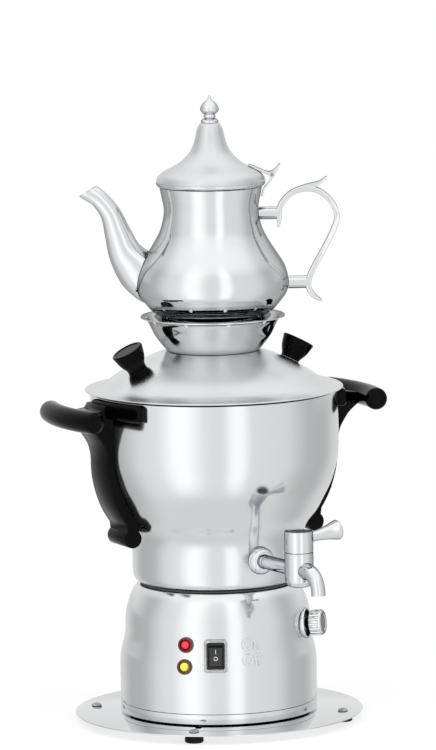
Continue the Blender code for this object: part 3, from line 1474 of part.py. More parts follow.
def hinge_band(shares):
    """Outline of a hinge strap from the pin, in shares of the knuckle radius."""
    points = [(x * HINGE_RADIUS, z * HINGE_RADIUS, half * HINGE_RADIUS) for x, z, half in shares]
    return band(smooth(points, 2))


def hinge():
    """Bracket on the teapot neck, pin, and the thumb tab that holds the lid."""
    across = (math.pi / 2.0, 0.0, 0.0)
    bore = HINGE_PIN_RADIUS + GAP
    half = KNUCKLE_WIDTH / 2.0
    wide = HINGE_WIDTH / 2.0
    bracket = slab("teapot_hinge_bracket", hinge_band(HINGE_BRACKET_SHARES), KNUCKLE_WIDTH, MIRROR_STEEL)
    put(bracket, POT_LIFT, (HINGE_REACH, 0.0, HINGE_LEVEL))
    join(bracket, moved(rod("knuckle", HINGE_RADIUS, -half, half), (0.0, 0.0, 0.0), across))
    cut(bracket, pot_jacket(), POT_LIFT)
    pin_hole = rod("pin_hole", bore, -half - OVERRUN, half + OVERRUN, steps=8)
    cut(bracket, moved(pin_hole, (0.0, 0.0, 0.0), across))
    pin_half = HINGE_PIN_LENGTH / 2.0
    pin = rod("teapot_hinge_pin", HINGE_PIN_RADIUS, -pin_half, pin_half, PLATED_STEEL, 8)
    put(pin, POT_LIFT, (HINGE_REACH, 0.0, HINGE_LEVEL), across)
    tab = slab("teapot_lid_tab", hinge_band(TAB_SHARES), HINGE_WIDTH, MIRROR_STEEL)
    put(tab, POT_HINGE)
    join(tab, moved(rod("lugs", HINGE_RADIUS, -wide, wide), (0.0, 0.0, 0.0), across))
    slot = (HINGE_RADIUS * 2.6, KNUCKLE_WIDTH + GAP + GAP, HINGE_RADIUS * 3.0)
    cut(tab, box("slot", slot, (0.0, 0.0, -HINGE_RADIUS * 0.4)))
    pin_hole = rod("pin_hole", bore, -wide - OVERRUN, wide + OVERRUN, steps=8)
    cut(tab, moved(pin_hole, (0.0, 0.0, 0.0), across))
    trim = jacket("lid_trim", POT_LID_LINE, POT_STEPS)
    cut(tab, moved(trim, (-HINGE_REACH, 0.0, -HINGE_LEVEL)))


def teapot_lid():
    """Ogee lid with an onion-shaped finial."""
    cover = turned("teapot_lid", POT_LID_LINE, LID_STEEL, POT_STEPS, wall=POT_LID_WALL)
    put(cover, POT_HINGE, (-HINGE_REACH, 0.0, -HINGE_LEVEL))
    bottom = POT_LID_LINE[0][1] + GAP
    outline = scaled(FINIAL_SHARES, FINIAL_RADIUS, bottom, FINIAL_HEIGHT)
    outline += [
        (FINIAL_STUD_RADIUS, bottom),
        (FINIAL_STUD_RADIUS, bottom - FINIAL_STUD_LENGTH),
        (0.0, bottom - FINIAL_STUD_LENGTH),
    ]
    finial = turned("teapot_finial", outline, CHROME, 16)
    put(finial, POT_HINGE, (-HINGE_REACH, 0.0, -HINGE_LEVEL))


foot_plate()
feet_and_screws()
base_bottom()
base_shell()
base_gasket()
vessel()
heating_element()
cutout_and_terminals()
thermostat()
switch()
lamp("red", RED_LAMP_HEIGHT, MAROON_BEZEL, RED_LENS)
lamp("amber", AMBER_LAMP_HEIGHT, BROWN_BEZEL, AMBER_LENS)
power_inlet()
tap()
side_handle("right", math.radians(HANDLE_TURN))
side_handle("left", math.pi + math.radians(HANDLE_TURN))
lid()
lid_knobs()
teapot_stand()
teapot_body()
teapot_spout()
teapot_handle()
hinge()
teapot_lid()
bpy.context.view_layer.update()
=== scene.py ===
"""Electric samovar with a lever tap and a teapot on its lid, finished for a studio photograph.

Lengths are in metres and +Z is up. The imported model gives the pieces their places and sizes.
Turned outlines are shares of a radius and a height, from the top of the outer side down, in
stretches that are each drawn as one smooth line.
"""

import json
import math

import bpy
from mathutils import Matrix, Vector


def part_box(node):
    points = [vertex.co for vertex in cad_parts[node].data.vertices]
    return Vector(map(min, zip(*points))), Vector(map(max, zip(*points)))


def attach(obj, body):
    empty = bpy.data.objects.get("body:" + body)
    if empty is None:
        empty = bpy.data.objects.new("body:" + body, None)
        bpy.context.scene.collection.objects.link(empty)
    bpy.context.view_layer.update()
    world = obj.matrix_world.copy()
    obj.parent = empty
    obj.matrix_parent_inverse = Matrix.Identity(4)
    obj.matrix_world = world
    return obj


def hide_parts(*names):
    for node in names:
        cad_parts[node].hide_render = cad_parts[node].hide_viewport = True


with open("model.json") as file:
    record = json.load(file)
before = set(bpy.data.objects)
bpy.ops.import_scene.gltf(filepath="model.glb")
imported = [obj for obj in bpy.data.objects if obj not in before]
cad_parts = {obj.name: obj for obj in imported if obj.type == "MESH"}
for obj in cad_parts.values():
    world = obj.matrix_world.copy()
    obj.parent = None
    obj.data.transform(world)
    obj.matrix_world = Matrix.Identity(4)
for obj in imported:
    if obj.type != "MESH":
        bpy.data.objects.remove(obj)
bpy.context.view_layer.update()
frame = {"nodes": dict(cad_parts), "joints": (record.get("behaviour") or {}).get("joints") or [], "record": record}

# Fits and fineness
GAP = 0.0003
OVERRUN = 0.003
MERGE = 0.000002
FINE = 160
ROUND = 96
SMALL = 48
SHARP = math.radians(34.0)

# Directions round the axis, in degrees from the tap towards +X
SWITCH_SIDE = -32.6
LAMP_SIDE = -51.0
DIAL_SIDE = 41.5
WORD_SIDE = -16.8
REAR_SIDE = 180.0
FOOT_SIDES = (47.5, 137.5, -132.5, -42.5)
TEAPOT_TURN = math.radians(-31.0)
HANDLE_TURN = math.radians(-4.0)
LID_TURN = math.radians(-10.0)
CAMERA_SIDE = math.radians(-31.0)
CAMERA_RISE = math.radians(7.65)
CAMERA_DISTANCE = 4.98
CAMERA_TARGET = 0.2894
CAMERA_ROLL = 0.0165
CAMERA_SHIFT = 0.0056

# Studio
WHITE = (1.0, 1.0, 1.0, 1.0)
LIGHT_LEVEL = 0.50
LAMP_POWER = 26.0
LAMP_TARGET = 0.25


def middle(node):
    """Centre of a node's box, its half width along X, and its lowest and highest level."""
    low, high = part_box(node)
    centre = Vector(((low[0] + high[0]) / 2.0, (low[1] + high[1]) / 2.0, 0.0))
    return centre, (high[0] - low[0]) / 2.0, low[2], high[2]


AXIS_PLACE, VESSEL_RADIUS, VESSEL_BOTTOM, VESSEL_TOP = middle("vessel")
AXIS = Matrix.Translation(AXIS_PLACE)
BASE_RADIUS, BASE_BOTTOM, BASE_TOP = middle("base_shell")[1:]
LID_RADIUS, LID_SKIRT_BOTTOM, LID_TOP = middle("lid")[1:]
LID_BOTTOM = VESSEL_TOP + GAP
STAND_RADIUS, STAND_BOTTOM, STAND_TOP = middle("teapot_stand")[1:]
POT_RADIUS = 0.0634
POT_BOTTOM, POT_TOP = middle("teapot_body")[2:]
POT_HEIGHT = POT_TOP - POT_BOTTOM
POT_LID_RADIUS = 0.0453
POT_LID_BOTTOM, POT_LID_TOP = middle("teapot_lid")[2:]
TEAPOT = AXIS @ Matrix.Rotation(TEAPOT_TURN, 4, "Z")
IN_PLACE = Matrix.Identity(4)
MIDDLE = (0.0, 0.0, 0.0)
FLAT = Matrix.Rotation(math.pi / 2.0, 4, "X")
UPRIGHT = Matrix.Rotation(-math.pi / 2.0, 4, "X")

# Walls and outlines
SHEET = 0.0010
KNOB_CIRCLE = 0.0680
BASE_SHARES = (
    ((0.730, 1.000), (0.806, 1.000)),
    (
        (0.806, 1.000), (0.815, 0.994), (0.862, 0.941), (0.900, 0.863), (0.929, 0.778), (0.941, 0.680),
        (0.944, 0.585), (0.971, 0.480), (0.992, 0.405), (1.000, 0.320),
    ),
    ((1.000, 0.320), (1.000, 0.000)),
)
VESSEL_SHARES = (
    ((1.000, 1.000), (1.000, 0.728)),
    (
        (1.000, 0.728), (0.993, 0.649), (0.972, 0.582), (0.934, 0.507), (0.873, 0.428), (0.810, 0.354),
        (0.756, 0.307), (0.715, 0.262), (0.688, 0.205), (0.682, 0.140), (0.681, 0.059), (0.670, 0.022),
        (0.644, 0.004), (0.610, 0.000),
    ),
    ((0.610, 0.000), (0.000, 0.000)),
)
LID_HEIGHT = LID_TOP - LID_BOTTOM
LID_SHARES = (
    (
        (0.280, 1.000), (0.351, 0.979), (0.434, 0.906), (0.569, 0.722), (0.713, 0.470), (0.828, 0.212),
        (0.875, 0.118), (0.925, 0.061), (1.000, 0.034),
    ),
)
SKIRT_RADIUS = 0.1012
STAND_SHARES = (
    (
        (1.000, 1.000), (0.945, 0.967), (0.884, 0.830), (0.799, 0.461), (0.715, 0.214), (0.640, 0.020),
    ),
    ((0.640, 0.020), (0.561, 0.000)),
)
STAND_HOLES = 10
STAND_HOLE_RADIUS = 0.0019
STAND_HOLE_CIRCLE_SHARE = 0.945
POT_SHARES = (
    ((0.706, 1.000), (0.715, 0.992), (0.701, 0.977), (0.670, 0.966)),
    (
        (0.670, 0.966), (0.648, 0.910), (0.621, 0.840), (0.624, 0.780), (0.669, 0.693), (0.730, 0.633),
        (0.798, 0.577), (0.921, 0.483), (0.974, 0.424), (1.000, 0.352), (0.980, 0.290), (0.915, 0.240),
        (0.798, 0.173), (0.677, 0.129),
    ),
    ((0.677, 0.129), (0.660, 0.070), (0.664, 0.028), (0.700, 0.000)),
    ((0.700, 0.000), (0.000, 0.000)),
)
POT_LID_SHARES = (
    ((0.044, 1.000), (0.163, 1.000)),
    (
        (0.163, 1.000), (0.203, 0.959), (0.241, 0.872), (0.274, 0.737), (0.322, 0.602), (0.404, 0.470),
        (0.556, 0.333), (0.695, 0.255), (0.830, 0.190), (0.932, 0.126), (0.980, 0.062), (1.000, 0.000),
    ),
)
FINIAL_SHARES = (
    (
        (0.000, 1.000), (0.130, 0.932), (0.247, 0.812), (0.727, 0.671), (1.000, 0.504), (0.896, 0.380),
        (0.584, 0.286),
    ),
    ((0.584, 0.286), (0.649, 0.218), (0.584, 0.150)),
    ((0.584, 0.150), (0.922, 0.073), (0.922, 0.000)),
    ((0.922, 0.000), (0.000, 0.000)),
)


def smooth(points, spans):
    """Points of a smooth curve that passes through the given ones."""
    fine = []
    last = len(points) - 1
    for index in range(last):
        a = points[max(index - 1, 0)]
        b = points[index]
        c = points[index + 1]
        d = points[min(index + 2, last)]
        for step in range(spans):
            t = step / spans
            fine.append(tuple(
                b[i] + t * (c[i] - a[i]) / 2.0
                + t * t * (2.0 * a[i] - 5.0 * b[i] + 4.0 * c[i] - d[i]) / 2.0
                + t * t * t * (3.0 * b[i] - a[i] - 3.0 * c[i] + d[i]) / 2.0
                for i in range(len(b))
            ))
    fine.append(tuple(points[last]))
    return fine


def outline(stretches, radius, bottom, height, spans=5):
    """Turned outline of (radius, height) points from stretches of shares."""
    line = []
    for stretch in stretches:
        points = smooth(stretch, spans) if len(stretch) > 2 else stretch
        start = 1 if line else 0
        line += [(r * radius, bottom + z * height) for r, z in points[start:]]
    return line


def radius_at(line, level):
    """Radius of a falling outline at a level."""
    for (r0, z0), (r1, z1) in zip(line, line[1:]):
        if z1 <= level <= z0 and z0 > z1:
            return r0 + (r1 - r0) * (z0 - level) / (z0 - z1)
    return line[-1][0]


def level_at(line, radius):
    """Height and slope angle of a widening outline at a radius."""
    for (r0, z0), (r1, z1) in zip(line, line[1:]):
        if r0 <= radius <= r1 and r1 > r0:
            return z0 + (z1 - z0) * (radius - r0) / (r1 - r0), math.atan2(z0 - z1, r1 - r0)
    return line[-1][1], 0.0


def moved_out(line, distance):
    """Outline moved outwards by a distance, square to itself."""
    normals = []
    for (r0, z0), (r1, z1) in zip(line, line[1:]):
        length = math.hypot(r1 - r0, z1 - z0)
        normals.append(((z0 - z1) / length, (r1 - r0) / length))
    moved = []
    for index, (r, z) in enumerate(line):
        before = normals[max(index - 1, 0)]
        after = normals[min(index, len(normals) - 1)]
        nr = before[0] + after[0]
        nz = before[1] + after[1]
        reach = 2.0 * distance / (nr * nr + nz * nz)
        moved.append((r + nr * reach, z + nz * reach))
    return moved


def band(points):
    """Closed outline round a middle line of (x, z, half thickness) points."""
    left = []
    right = []
    last = len(points) - 1
    for index, (x, z, half) in enumerate(points):
        x0, z0 = points[max(index - 1, 0)][:2]
        x1, z1 = points[min(index + 1, last)][:2]
        length = math.hypot(x1 - x0, z1 - z0)
        nx = (z0 - z1) / length * half
        nz = (x1 - x0) / length * half
        left.append((x + nx, z + nz))
        right.append((x - nx, z - nz))
    return left + right[::-1]


def direction(side):
    """Unit vector that points away from the axis at an angle from the tap."""
    angle = math.radians(side)
    return math.sin(angle), -math.cos(angle)


BASE_LINE = outline(BASE_SHARES, BASE_RADIUS, BASE_BOTTOM, BASE_TOP - BASE_BOTTOM)
VESSEL_LINE = outline(VESSEL_SHARES, VESSEL_RADIUS, VESSEL_BOTTOM, VESSEL_TOP - VESSEL_BOTTOM)
LID_LINE = outline(LID_SHARES, LID_RADIUS, LID_BOTTOM, LID_HEIGHT)
STAND_LINE = outline(STAND_SHARES, STAND_RADIUS, STAND_BOTTOM, STAND_TOP - STAND_BOTTOM)
POT_LINE = outline(POT_SHARES, POT_RADIUS, POT_BOTTOM, POT_HEIGHT)
POT_LID_LINE = outline(POT_LID_SHARES, POT_LID_RADIUS, POT_LID_BOTTOM, POT_LID_TOP - POT_LID_BOTTOM)
# The walls that other pieces seat on, without their flat ends
BASE_WALL = [point for point in BASE_LINE if point[0] > BASE_RADIUS * 0.81]
VESSEL_WALL = [point for point in VESSEL_LINE if point[0] > VESSEL_RADIUS * 0.62]
POT_WALL = [point for point in POT_LINE if point[0] > POT_RADIUS * 0.4]


def move(x, y, z):
    """Matrix that moves by a distance along each axis."""
    return Matrix.Translation((x, y, z))


def wall_place(side, level, half):
    """Place on the base wall, with local Z square to it and local Y up."""
    above = radius_at(BASE_LINE, level + half)
    below = radius_at(BASE_LINE, level - half)
    lean = math.atan2(below - above, 2.0 * half)
    radius = max(radius_at(BASE_LINE, level), (above + below) / 2.0)
    x, y = direction(side)
    turn = Matrix.Rotation(math.radians(side), 4, "Z") @ Matrix.Rotation(math.pi / 2.0 - lean, 4, "X")
    return AXIS @ move(x * radius, y * radius, level) @ turn


def named(name):
    """Name the piece that was just added, and its mesh."""
    piece = bpy.context.active_object
    piece.name = name
    piece.data.name = name
    return piece


def start_point(name, spot):
    """A small plane drawn together to one point, open for editing."""
    bpy.ops.object.select_all(action="DESELECT")
    bpy.ops.mesh.primitive_plane_add(size=SHEET)
    piece = named(name)
    bpy.ops.object.mode_set(mode="EDIT")
    bpy.ops.mesh.select_all(action="SELECT")
    bpy.ops.mesh.merge(type="CENTER")
    bpy.ops.transform.translate(value=spot)
    return piece


def draw_line(points):
    """Extrude the selected point from one place to the next."""
    for start, end in zip(points, points[1:]):
        step = Vector(end) - Vector(start)
        bpy.ops.mesh.extrude_vertices_move(TRANSFORM_OT_translate={"value": step})


def close_edit():
    """Weld what lies together, turn the faces outwards and leave the edit."""
    bpy.ops.mesh.select_all(action="SELECT")
    bpy.ops.mesh.remove_doubles(threshold=MERGE)
    bpy.ops.mesh.normals_make_consistent(inside=False)
    bpy.ops.object.mode_set(mode="OBJECT")


def shaped(piece, kind, **settings):
    """Give a piece a modifier with its settings and apply it."""
    bpy.context.view_layer.objects.active = piece
    change = piece.modifiers.new(kind.title(), kind)
    for key, value in settings.items():
        setattr(change, key, value)
    bpy.ops.object.modifier_apply(modifier=change.name)
    return piece


def turned(name, line, sides=FINE, wall=0.0, closed=False):
    """Turn an outline of (radius, height) points about the Z axis."""
    points = [(r, 0.0, z) for r, z in line]
    if closed:
        points.append(points[0])
    piece = start_point(name, points[0])
    draw_line(points)
    bpy.ops.mesh.select_all(action="SELECT")
    bpy.ops.mesh.spin(steps=sides, angle=2.0 * math.pi, center=(0.0, 0.0, 0.0), axis=(0.0, 0.0, 1.0))
    close_edit()
    if wall:
        shaped(piece, "SOLIDIFY", thickness=wall, offset=-1.0, use_even_offset=True)
    return piece


def rod(radius, low, high, sides=SMALL):
    """Cylinder along Z, for cutting and joining."""
    bpy.ops.object.select_all(action="DESELECT")
    middle_level = (low + high) / 2.0
    bpy.ops.mesh.primitive_cylinder_add(
        vertices=sides, radius=radius, depth=high - low, location=(0.0, 0.0, middle_level))
    piece = bpy.context.active_object
    bpy.ops.object.transform_apply(location=True, rotation=False, scale=False)
    return piece


def block(name, size, centre, edge=0.0, segments=3):
    """Box with rounded edges."""
    bpy.ops.object.select_all(action="DESELECT")
    bpy.ops.mesh.primitive_cube_add(size=1.0)
    piece = named(name)
    bpy.ops.object.mode_set(mode="EDIT")
    bpy.ops.mesh.select_all(action="SELECT")
    bpy.ops.transform.resize(value=size)
    bpy.ops.transform.translate(value=centre)
    bpy.ops.object.mode_set(mode="OBJECT")
    if edge:
        rounded(piece, edge, segments)
    return piece


def rounded(piece, width, segments=3, limit=40.0):
    """Round the sharp edges of a piece."""
    return shaped(piece, "BEVEL", width=width, segments=segments, limit_method="ANGLE",
                  angle_limit=math.radians(limit), use_clamp_overlap=True)


def strap(name, points, thickness):
    """Piece with an outline of (x, z) points and a thickness along Y."""
    places = [(x, -thickness / 2.0, z) for x, z in points]
    piece = start_point(name, places[0])
    draw_line(places)
    bpy.ops.mesh.select_all(action="SELECT")
    bpy.ops.mesh.edge_face_add()
    bpy.ops.mesh.extrude_region_move(TRANSFORM_OT_translate={"value": (0.0, thickness, 0.0)})
    close_edit()
    return piece


def slab(name, width, tall, corner, low, high):
    """Flat piece with round corners, from a low to a high level."""
    points = []
    for x, y, start in ((1, 1, 0.0), (-1, 1, 90.0), (-1, -1, 180.0), (1, -1, 270.0)):
        for step in range(7):
            angle = math.radians(start + 15.0 * step)
            points.append((x * (width / 2.0 - corner) + corner * math.cos(angle),
                           y * (tall / 2.0 - corner) + corner * math.sin(angle)))
    piece = strap(name, points, high - low)
    lay = move(0.0, 0.0, (low + high) / 2.0) @ UPRIGHT
    return place(piece, lay)


def drawn(name, stations, sides=SMALL):
    """Round tube along (x, z, radius) stations in the XZ plane, its rings square to the route."""
    last = len(stations) - 1
    angles = []
    for index in range(last + 1):
        x0, z0 = stations[max(index - 1, 0)][:2]
        x1, z1 = stations[min(index + 1, last)][:2]
        angles.append(math.atan2(x1 - x0, z1 - z0))
    x, z, radius = stations[0]
    bpy.ops.object.select_all(action="DESELECT")
    bpy.ops.mesh.primitive_circle_add(
        vertices=sides, radius=radius, fill_type="NGON",
        location=(x, 0.0, z), rotation=(0.0, angles[0], 0.0))
    piece = named(name)
    bpy.ops.object.transform_apply(location=True, rotation=True, scale=False)
    bpy.ops.object.mode_set(mode="EDIT")
    bpy.ops.mesh.select_all(action="SELECT")
    for index in range(1, last + 1):
        x0, z0, r0 = stations[index - 1]
        x1, z1, r1 = stations[index]
        step = (x1 - x0, 0.0, z1 - z0)
        bpy.ops.mesh.extrude_region_move(TRANSFORM_OT_translate={"value": step})
        spot = (x1, 0.0, z1)
        bpy.ops.transform.resize(value=(r1 / r0, r1 / r0, r1 / r0), center_override=spot)
        change = (angles[index] - angles[index - 1] + math.pi) % (2.0 * math.pi) - math.pi
        # Without a window the turn goes the other way round, so its sign is changed here
        bpy.ops.transform.rotate(value=-change, orient_axis="Y", center_override=spot)
    close_edit()
    return piece


def place(piece, matrix):
    """Move the mesh of a piece."""
    piece.data.transform(matrix)
    return piece


def combine(piece, other, operation):
    """Boolean with another shape, which is used up."""
    shaped(piece, "BOOLEAN", operation=operation, object=other, solver="EXACT")
    mesh = other.data
    bpy.data.objects.remove(other)
    bpy.data.meshes.remove(mesh)
    return piece


def cut(piece, other):
    return combine(piece, other, "DIFFERENCE")


def join(piece, other):
    return combine(piece, other, "UNION")


def jacket(line, spot=AXIS):
    """Solid inside an outline, larger than it by the gap."""
    outer = moved_out(line, GAP)
    return place(turned("jacket", [(0.0, outer[0][1])] + outer + [(0.0, outer[-1][1])]), spot)


def dress(piece, body, slot, material, *nodes, angle=SHARP):
    """Shade a piece, give it its finish, hang it on what carries it and hide the model's parts that it stands for.
    """
    bpy.ops.object.select_all(action="DESELECT")
    piece.select_set(True)
    bpy.context.view_layer.objects.active = piece
    bpy.ops.object.shade_smooth_by_angle(angle=angle)
    piece.data.materials.clear()
    piece.data.materials.append(material)
    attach(piece, body)
    if nodes:
        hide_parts(*nodes)
    return piece


def linear(colour):
    """Linear colour from an sRGB colour written as hex."""
    channels = [int(colour[i:i + 2], 16) / 255.0 for i in (0, 2, 4)]
    return tuple(c / 12.92 if c <= 0.04045 else ((c + 0.055) / 1.055) ** 2.4 for c in channels)


def add_node(tree, kind, inputs=None, **settings):
    """Add a shader node; each input is a value, a socket or a node whose first output is meant."""
    new = tree.nodes.new("ShaderNode" + kind)
    for key, value in settings.items():
        setattr(new, key, value)
    for key, value in (inputs or {}).items():
        if isinstance(value, bpy.types.Node):
            value = value.outputs[0]
        if isinstance(value, bpy.types.NodeSocket):
            tree.links.new(value, new.inputs[key])
        else:
            new.inputs[key].default_value = value
    return new


# Most of a noise lies between these values
NOISE_LOW = 0.3
NOISE_HIGH = 0.7
RING_DRIFT = 0.01


def rings(tree, spacing):
    """Noise that runs round the axis, for marks left by spinning and brushing a turned sheet."""
    coordinates = add_node(tree, "TexCoord")
    centred = add_node(tree, "Mapping", {
        "Vector": coordinates.outputs["Object"], "Location": (0.0, -AXIS_PLACE.y, 0.0)})
    parts = add_node(tree, "SeparateXYZ", {"Vector": centred})
    flat = add_node(tree, "CombineXYZ", {"X": parts.outputs["X"], "Y": parts.outputs["Y"]})
    reach = add_node(tree, "VectorMath", {0: flat}, operation="LENGTH")
    angle = add_node(tree, "Math", {0: parts.outputs["Y"], 1: parts.outputs["X"]},
                     operation="ARCTAN2")
    slow = add_node(tree, "Math", {0: angle, 1: RING_DRIFT}, operation="MULTIPLY")
    spot = add_node(tree, "CombineXYZ", {
        "X": reach.outputs["Value"], "Y": parts.outputs["Z"], "Z": slow})
    return add_node(tree, "TexNoise", {
        "Vector": spot, "Scale": 1.0 / spacing, "Detail": 4.0, "Roughness": 0.6})


def grain(tree, size):
    """Even noise with lumps of a real size."""
    coordinates = add_node(tree, "TexCoord")
    return add_node(tree, "TexNoise", {
        "Vector": coordinates.outputs["Object"], "Scale": 1.0 / size, "Detail": 3.0, "Roughness": 0.55})


def finish(name, colour, metallic, roughness, pattern, size, limits, relief=None, **values):
    """Material with a pattern of a real size in it.

    The pattern varies the roughness between two limits. Where relief gives a height and a
    strength, the pattern raises the surface too.
    """
    material = bpy.data.materials.new(name)
    material.use_nodes = True
    tree = material.node_tree
    shader = tree.nodes["Principled BSDF"]
    values.update(Base_Color=(*linear(colour), 1.0), Roughness=roughness, Metallic=metallic)
    for key, value in values.items():
        shader.inputs[key.replace("_", " ")].default_value = value
    noise = pattern(tree, size)
    low, high = limits
    spread = add_node(tree, "MapRange", {
        "Value": noise, "From Min": NOISE_LOW, "From Max": NOISE_HIGH, "To Min": low, "To Max": high})
    tree.links.new(spread.outputs["Result"], shader.inputs["Roughness"])
    if relief:
        height, strength = relief
        bump = add_node(tree, "Bump", {"Height": noise, "Distance": height, "Strength": strength})
        tree.links.new(bump.outputs["Normal"], shader.inputs["Normal"])
    return material


# Where fingers rub the lid: from the knob's foot outwards, and how smooth it gets there
RUB_DROP = 0.018
RUB_INNER = 0.020
RUB_OUTER = 0.042
RUBBED_ROUGHNESS = 0.13
BRUSHED_ROUGHNESS = 0.34


def rubbed(material):
    """Make the lid's sheet smoother round its two knobs, where fingers rub it."""
    tree = material.node_tree
    roughness = tree.nodes["Principled BSDF"].inputs["Roughness"]
    spread = roughness.links[0].from_node
    coordinates = add_node(tree, "TexCoord")
    away = []
    for turn in (LID_TURN, math.pi + LID_TURN):
        foot = (KNOB_CIRCLE * math.cos(turn), KNOB_CIRCLE * math.sin(turn), LID_TOP - RUB_DROP)
        reach = add_node(tree, "VectorMath", {
            0: coordinates.outputs["Object"], 1: AXIS_PLACE + Vector(foot)}, operation="DISTANCE")
        away.append(reach.outputs["Value"])
    nearest = add_node(tree, "Math", {0: away[0], 1: away[1]}, operation="MINIMUM")
    smoother = add_node(tree, "MapRange", {
        "Value": nearest, "From Min": RUB_INNER, "From Max": RUB_OUTER,
        "To Min": RUBBED_ROUGHNESS, "To Max": BRUSHED_ROUGHNESS},
        interpolation_type="SMOOTHSTEP")
    product = add_node(tree, "Math", {0: smoother, 1: spread}, operation="MULTIPLY")
    tree.links.new(product.outputs[0], roughness)
    return material


def mirror_stainless(name, edge):
    """Stainless sheet, buffed to a mirror: the room shows in it almost unblurred."""
    return finish(name, "DCDDDE", 1.0, 0.04, grain, 0.004, (0.03, 0.06),
                  Specular_Tint=(edge, edge, edge, 1.0))


def nylon(name, colour):
    """Glass-filled nylon, moulded in an etched tool: dark with a fine grain."""
    return finish(name, colour, 0.0, 0.36, grain, 0.0006, (0.36, 0.50), (0.00004, 0.30), IOR=1.50,
                  Specular_IOR_Level=0.35)


def rubber(name, colour):
    """Moulded rubber: matt, a little dusty. Black nitrile, and a grey whose lightness is a painted sheen on the
    gasket.
    """
    return finish(name, colour, 0.0, 0.75, grain, 0.0008, (0.68, 0.85), (0.00005, 0.35), IOR=1.50,
                  Specular_IOR_Level=0.25)


def tinted(name, colour, roughness, glow):
    """Acrylic, moulded and coloured through: wet-looking with depth under the surface."""
    return finish(name, colour, 0.0, roughness, grain, 0.0015, (roughness * 0.8, roughness * 1.3),
                  IOR=1.49, Coat_Weight=0.6, Coat_Roughness=0.05, Emission_Color=(*linear(colour), 1.0),
                  Emission_Strength=glow)


# Stainless 18/10 sheet, spun and fine polished: soft lights, mirror-like close to a thing
SATIN = finish("satin_stainless_sheet", "DDDEDF", 1.0, 0.13, rings, 0.0009, (0.11, 0.16), (0.00001, 0.10))
MIRROR = mirror_stainless("mirror_stainless_sheet", 0.34)
PLATE = mirror_stainless("mirror_stainless_plate", 1.0)
# Stainless sheet, brushed round while it turned: even light grey with faint rings
MATT = finish("ring_brushed_stainless_sheet", "D6D7D8", 1.0, 0.36, rings, 0.0007, (0.31, 0.45),
              (0.00001, 0.25))
# The same on the lid, where the limits are shares of the roughness that rubbing leaves
HANDLED = rubbed(finish("lid_brushed_stainless_sheet", "DEDFE0", 1.0, 0.30, rings, 0.0007, (0.9, 1.15),
                        (0.00001, 0.15)))
# Stainless sheet coloured dark as painted shade, for the shadowed gap under the lid's brim
BRIM_SHADE = finish("painted_shade_under_lid_brim", "3A3A3B", 1.0, 0.45, grain, 0.002, (0.40, 0.60))
# Brass with bright chrome plating: bluish mirror with deep darks
CHROME = finish("bright_chrome_plate", "DCDEE0", 1.0, 0.04, grain, 0.003, (0.03, 0.06),
                Specular_Tint=(0.10, 0.10, 0.11, 1.0))
# Zinc-plated steel: dull grey with small spangles
ZINC = finish("zinc_plated_steel_parts", "A9ABAD", 1.0, 0.38, grain, 0.0012, (0.30, 0.48))
# Phenolic resin, pressed in a polished mould: deep black with a soft sheen
BAKELITE = finish("pressed_black_bakelite", "030303", 0.0, 0.14, grain, 0.0030, (0.11, 0.17),
                  (0.00002, 0.10), IOR=1.50, Specular_IOR_Level=0.08)
NYLON = nylon("moulded_black_nylon", "141415")
ROCKER = nylon("grey_rocker_nylon", "2C2D2E")
RUBBER = rubber("moulded_nitrile_rubber", "0E0E0E")
# Grey rubber for the gasket: the grey is a painted sheen, standing in for the light its bead reflects
GASKET_SHEEN = rubber("gasket_rubber_painted_sheen", "565758")
# Clear PVC, moulded: a thin see-through frame that takes the steel's tone
CLEAR = finish("clear_moulded_cover", "E9EBEC", 0.0, 0.12, grain, 0.002, (0.10, 0.18), IOR=1.50,
               Transmission_Weight=0.85)
BROWN = tinted("brown_acrylic_bezel", "3A1A0C", 0.20, 0.0)
MAROON = tinted("maroon_acrylic_bezel", "4E0A14", 0.20, 0.0)
RED = tinted("red_acrylic_lens", "DA1E28", 0.12, 0.15)
AMBER = tinted("amber_acrylic_lens", "F2D64A", 0.12, 0.25)
# Steatite, fired and unglazed: chalky off-white
CERAMIC = finish("fired_steatite", "E4DFD4", 0.0, 0.60, grain, 0.0010, (0.52, 0.70), (0.00004, 0.30),
                 IOR=1.60)
# Pad-printed white ink: flat and slightly rough
PRINT = finish("pad_printed_white", "D8D8D6", 0.0, 0.55, grain, 0.0005, (0.48, 0.62), IOR=1.50)
NODE_FINISHES = {
    "mirror_polished_steel": MIRROR,
    "satin_stainless_steel": SATIN,
    "matt_brushed_steel": MATT,
    "chromed_brass": CHROME,
    "zinc_plated_steel": ZINC,
    "black_bakelite": BAKELITE,
    "black_nylon": NYLON,
    "black_rubber": RUBBER,
    "clear_splash_frame": CLEAR,
    "dark_brown_bezel": BROWN,
    "dark_red_bezel": MAROON,
    "red_lens": RED,
    "amber_lens": AMBER,
    "white_ceramic": CERAMIC,
}
for entry in frame["record"]["subparts"]:
    carried = frame["nodes"][entry["node"]]
    for index in range(len(carried.data.materials)):
        carried.data.materials[index] = NODE_FINISHES[entry["material_slot"]]


FOOT_CIRCLE = 0.105
FOOT_SCREW_RADIUS = 0.0020
SCREW_HEAD_RADIUS = 0.0042
FOOT_LIP = 0.0009
FOOT_RADIUS = 0.0077
SLOT_WIDTH = 0.0008
SCREW_TURN = 0.4
PLATE_EDGE = 0.0003


def foot_plate():
    """Round mirror plate with a fine rounded edge and holes for the screws."""
    radius, low, high = middle("foot_plate")[1:]
    plate = turned("foot_plate_disc", [(0.0, high), (radius, high), (radius, low), (0.0, low)])
    rounded(plate, PLATE_EDGE, 2, 60.0)
    for side in FOOT_SIDES:
        x, y = direction(side)
        hole = rod(FOOT_SCREW_RADIUS + GAP, low - OVERRUN, high + OVERRUN)
        cut(plate, place(hole, move(x * FOOT_CIRCLE, y * FOOT_CIRCLE, 0.0)))
    dress(place(plate, AXIS), "root", "mirror_polished_steel", PLATE, "foot_plate")


